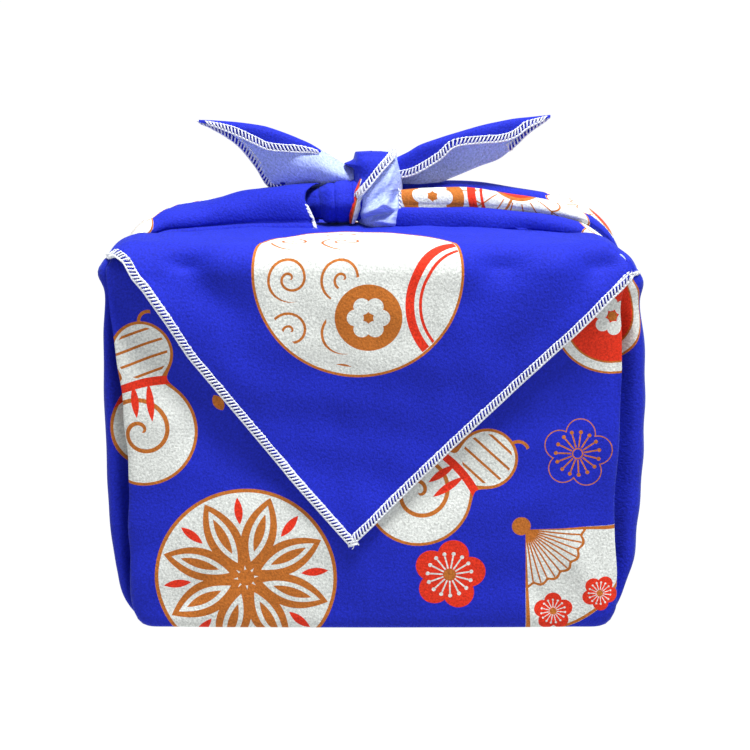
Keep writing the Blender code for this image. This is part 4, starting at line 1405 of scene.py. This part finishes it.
def make_neck():
    """Make the neck beside the knot: round sections, which step out a little at each of the
    strips of cloth that pass over it."""
    row = read_between(NECK, 150)
    angle = np.linspace(0, 2 * np.pi, 72, endpoint=False)[None, :]
    strip = np.interp(row.across, (-0.035, -0.0232, -0.0167, -0.0090, 0.002), (0, 1, 2, 3, 3.9))
    step = (strip + 0.10 * np.sin(angle)) % 1
    swell = 1 + 0.10 * np.sin(np.pi * step ** 0.6) ** 0.6 - 0.05 + 0.02 * np.cos(7 * angle)
    y = row.depth - row.half_depth * np.cos(angle) * swell
    z = row.height + row.half_height * np.sin(angle) * swell
    closed = with_ends(np.stack(np.broadcast_arrays(row.across, y, z), axis=-1))
    faces = turned_out(closed, grid_faces(len(closed), 72, True), (-0.016, -0.004, 0.175))
    cloth = np.stack((closed[..., 0] - 0.030, closed[..., 2] + 0.02), axis=-1)
    neck = make_piece("knot_neck", closed, faces, [printed_material()], cloth)
    weld(neck)


def make_knot_fold():
    """Make the narrow fold in front of the neck. It leans to the right as it rises, is widest
    near its middle as a sine, and bulges to the front both ways as a parabola."""
    height = np.linspace(0.1672, 0.1868, 30)[:, None]
    turn = np.linspace(0, 1, 16)[None, :]
    lean = -0.0096 + 0.0042 * ((height - 0.1672) / 0.0196) ** 1.3
    wide = 0.0026 * np.sin(np.pi * np.clip((height - 0.164) / 0.0236, 0, 1)) + 0.0004
    x = lean + (turn - 0.4) * wide * 1.6
    y = -0.0158 + 0.0015 * (2 * turn - 1) ** 2 + 0.0022 * ((height - 0.176) / 0.01) ** 2
    points = np.stack(np.broadcast_arrays(x, y, height), axis=-1)
    across = 0.0985 + 0.0196 + (turn - 0.45) * 0.006
    cloth = np.stack(np.broadcast_arrays(across, 0.1350 + (height - 0.176) * 0.55), axis=-1)
    faces = turned_out(points, grid_faces(30, 16), (-0.005, 0.0, 0.176))
    piece = make_piece("knot_fold", points, faces, cloth_materials(), cloth)
    thicken(piece)


def end_points(rows, sections, across):
    """Return a free end's points in upright sections. Across runs from -1 at the front leaf's
    edge to 0 at the fold and 1 at the back leaf's edge. A leaf falls from the fold by its
    drop and moves off it by half the gap, both quickly at first, and the back leaf bellies
    forward as a sine."""
    row = read_between(rows, sections)
    down = np.abs(across)[None, :]
    is_front = (across < 0)[None, :]
    drop = np.where(is_front, row.front_drop, row.back_drop)
    apart = row.half_gap * (1 - np.exp(-down * drop / 0.0012))
    fall = drop * down ** 1.15
    y = row.depth + np.where(is_front, -apart, apart - row.belly * np.sin(np.pi * down) * 2.0)
    z = row.height - fall + 0.0003
    return np.stack(np.broadcast_arrays(row.across, y, z), axis=-1), row


def make_free_end(name, rows, sewn_back, sign):
    """Make one free end, folded along its top. Its front leaf is sewn where its edge shows,
    its back leaf from one section to another, and a strip beside the sewn edges is printed
    on both sides: the print at the cut edge, and painted shade between the stitches."""
    across = np.concatenate((-np.linspace(1, 0, FRONT_COLUMNS) ** 1.25,
                             np.linspace(0, 1, BACK_COLUMNS)[1:] ** 1.25))
    points, row = end_points(rows, END_SECTIONS, across)
    wobble = 0.00035 * waves(points[..., 0], points[..., 2], 0.014, 4)
    from_knot = np.linspace(0, 1, END_SECTIONS)
    taper = np.minimum(from_knot * 6, np.linspace(1, 0, END_SECTIONS) * 4).clip(0, 1)[:, None]
    points[..., 1] += wobble * taper
    inside = points + np.where(across < 0, 0.01, -0.01)[:, None] * np.array((0.0, 1.0, 0.0))
    faces = turned_out(points, grid_faces(*points.shape[:2]), inside)
    steps = np.linalg.norm(np.diff(points, axis=1, prepend=points[:, :1]), axis=2)
    along = np.cumsum(steps, axis=1)
    cloth = np.stack((points[..., 0] * sign - 0.005, along + 0.185), axis=-1)
    piece = make_piece(name, points, faces, cloth_materials() + [printed_material()] * 2, cloth)
    shown = row.front_drop[:, 0] > SHOWN_DROP
    first, last = sewn_back
    rows, columns = np.divmod(faces.min(axis=1), points.shape[1])
    is_sewn = np.where(columns < FRONT_COLUMNS - 1, shown[rows], (rows >= first) & (rows < last))
    from_edge = np.minimum(along, along[:, -1:] - along).reshape(-1)[faces].mean(axis=1)
    # Faces of this strip take the printed material on both sides: painted shade between the stitches
    # on the reverse, with the print at the cut edge.
    is_ink_and_shade = is_sewn & (from_edge < INK_AND_SHADE_STRIP)
    piece.data.polygons.foreach_set("material_index", np.where(is_ink_and_shade, 2, 0))
    thicken(piece)
    ahead = np.array((0.0, -1.0, 0.0)) + np.zeros((END_SECTIONS, 3))
    front = points[shown, 0]
    back = points[first:last, -1]
    front_share = np.clip(row.front_drop[shown, 0] / 0.0050, 0.25, 1)
    back_share = np.clip(row.back_drop[first:last, 0] / 0.0080, 0.25, 1)
    hem = make_hem(name + "_hem", [
        (front, points[shown, 5] - front, ahead[shown], front_share),
        (back, points[first:last, -5] - back, -ahead[first:last], back_share),
    ])


# Stage


def make_backdrop():
    """Make the floor as a wide disc, and the white surroundings."""
    angle = np.linspace(0, 2 * np.pi, 128, endpoint=False)
    points = np.stack((6 * np.cos(angle), 6 * np.sin(angle), 0 * angle), axis=-1)
    mesh = bpy.data.meshes.new("floor")
    mesh.from_pydata(points.tolist(), [], [list(range(128))])
    floor = bpy.data.objects.new("floor", mesh)
    material, tree, shader = new_material("floor_paper")
    set_inputs(shader, {
        "Base Color": (0.03, 0.03, 0.03, 1.0), "Roughness": 0.9, "Specular IOR Level": 0.1,
        "Emission Color": (1.0, 1.0, 1.0, 1.0), "Emission Strength": 1.0})
    mesh.materials.append(material)
    bpy.context.scene.collection.objects.link(floor)
    world = bpy.data.worlds.new("surroundings")
    world.use_nodes = True
    tree = world.node_tree
    background = tree.nodes["Background"]
    set_inputs(background, {"Color": (1.0, 1.0, 1.0, 1.0)})
    place = add_node(tree, "TexCoord")
    split = add_node(tree, "SeparateXYZ")
    level = add_node(tree, "MapRange", {
        "From Min": 0.10, "From Max": 0.22, "To Min": 1.02,
        "To Max": bpy.context.scene.wrap_stage.fill})
    link_all(tree, (
        (place.outputs["Generated"], split.inputs[0]), (split.outputs["Z"], level.inputs["Value"]),
        (level.outputs[0], background.inputs["Strength"]),
    ))
    bpy.context.scene.world = world


def add_light(name, place, size, power):
    """Add a square light that points at the middle of the cloth."""
    light = bpy.data.lights.new(name, "AREA")
    light.shape = "SQUARE"
    light.size = size
    light.energy = power
    lamp = bpy.data.objects.new(name, light)
    lamp.location = place
    lamp.rotation_euler = (Vector((0, 0, 0.1)) - Vector(place)).to_track_quat("-Z", "Y").to_euler()
    bpy.context.scene.collection.objects.link(lamp)


def make_camera():
    """Add the camera. Its shift is the photograph's framing, in parts of the image's width."""
    stage = bpy.context.scene.wrap_stage
    target = np.array((0.0, 0.0, 0.10))
    away = np.array((0.0, -np.cos(stage.elevation), np.sin(stage.elevation)))
    place = Vector(target + stage.distance * away)
    data = bpy.data.cameras.new("camera")
    data.lens = stage.lens
    data.sensor_width = 36.0
    data.shift_x = 0.0020
    data.shift_y = -0.0091
    camera = bpy.data.objects.new("camera", data)
    camera.location = place
    camera.rotation_euler = (Vector(target) - place).to_track_quat("-Z", "Y").to_euler()
    bpy.context.scene.collection.objects.link(camera)
    bpy.context.scene.camera = camera


# Add-on


class WRAP_OT_stage(bpy.types.Operator):
    """Add the camera, the lights and the floor"""
    bl_idname = "wrap.stage"
    bl_label = "Stage"

    def execute(self, context):
        make_camera()
        make_backdrop()
        power = context.scene.wrap_stage.key
        add_light("key", (0.28, -0.50, 1.80), 0.45, power)
        add_light("overhead", (-0.1, 0.4, 1.8), 0.7, power * 0.18)
        context.scene.view_settings.view_transform = "Standard"
        return {"FINISHED"}


class WRAP_OT_cover(bpy.types.Operator):
    """Add the cloth over the load"""
    bl_idname = "wrap.cover"
    bl_label = "Cover"

    def execute(self, context):
        make_cover()
        return {"FINISHED"}


class WRAP_OT_flap(bpy.types.Operator):
    """Add the pointed flap with its sewn edge"""
    bl_idname = "wrap.flap"
    bl_label = "Flap"

    def execute(self, context):
        make_flap()
        return {"FINISHED"}


class WRAP_OT_bands(bpy.types.Operator):
    """Add the gathered bands up the sides"""
    bl_idname = "wrap.bands"
    bl_label = "Bands"

    def execute(self, context):
        make_bands()
        return {"FINISHED"}


class WRAP_OT_knot(bpy.types.Operator):
    """Add the knot and its neck"""
    bl_idname = "wrap.knot"
    bl_label = "Knot"

    def execute(self, context):
        make_lap(make_knot_body())
        make_neck()
        make_knot_fold()
        return {"FINISHED"}


class WRAP_OT_free_ends(bpy.types.Operator):
    """Add the two free ends of the knot"""
    bl_idname = "wrap.free_ends"
    bl_label = "Free ends"

    def execute(self, context):
        make_free_end("left_end", LEFT_END, (44, 88), 1)
        make_free_end("right_end", RIGHT_END, (66, 88), -1)
        return {"FINISHED"}


OPERATORS = (WRAP_OT_cover, WRAP_OT_flap, WRAP_OT_bands, WRAP_OT_knot, WRAP_OT_free_ends,
             WRAP_OT_stage)


class WRAP_PT_panel(bpy.types.Panel):
    """The sizes, the colours and the pieces of the wrapping"""
    bl_label = "Wrapping"
    bl_idname = "WRAP_PT_panel"
    bl_space_type = "VIEW_3D"
    bl_region_type = "UI"
    bl_category = "Wrapping"

    def draw(self, context):
        for name in SETTINGS:
            group = getattr(context.scene, name)
            for prop in group.bl_rna.properties:
                if prop.identifier not in ("rna_type", "name"):
                    self.layout.prop(group, prop.identifier)
        for operator in OPERATORS:
            self.layout.operator(operator.bl_idname)


SETTINGS = {"wrap_cloth": ClothSettings, "wrap_sewing": SewingSettings,
            "wrap_stage": StageSettings}


def register():
    """Add the settings, the operators and the panel."""
    for name, group in SETTINGS.items():
        bpy.utils.register_class(group)
        setattr(bpy.types.Scene, name, bpy.props.PointerProperty(type=group))
    for operator in OPERATORS:
        bpy.utils.register_class(operator)
    bpy.utils.register_class(WRAP_PT_panel)


def unregister():
    """Take them away again, in the opposite order."""
    bpy.utils.unregister_class(WRAP_PT_panel)
    for operator in reversed(OPERATORS):
        bpy.utils.unregister_class(operator)
    for name, group in SETTINGS.items():
        delattr(bpy.types.Scene, name)
        bpy.utils.unregister_class(group)


def main():
    """Register the add-on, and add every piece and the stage."""
    register()
    for operator in OPERATORS:
        group, name = operator.bl_idname.split(".")
        getattr(getattr(bpy.ops, group), name)()


if __name__ == "__main__":
    main()
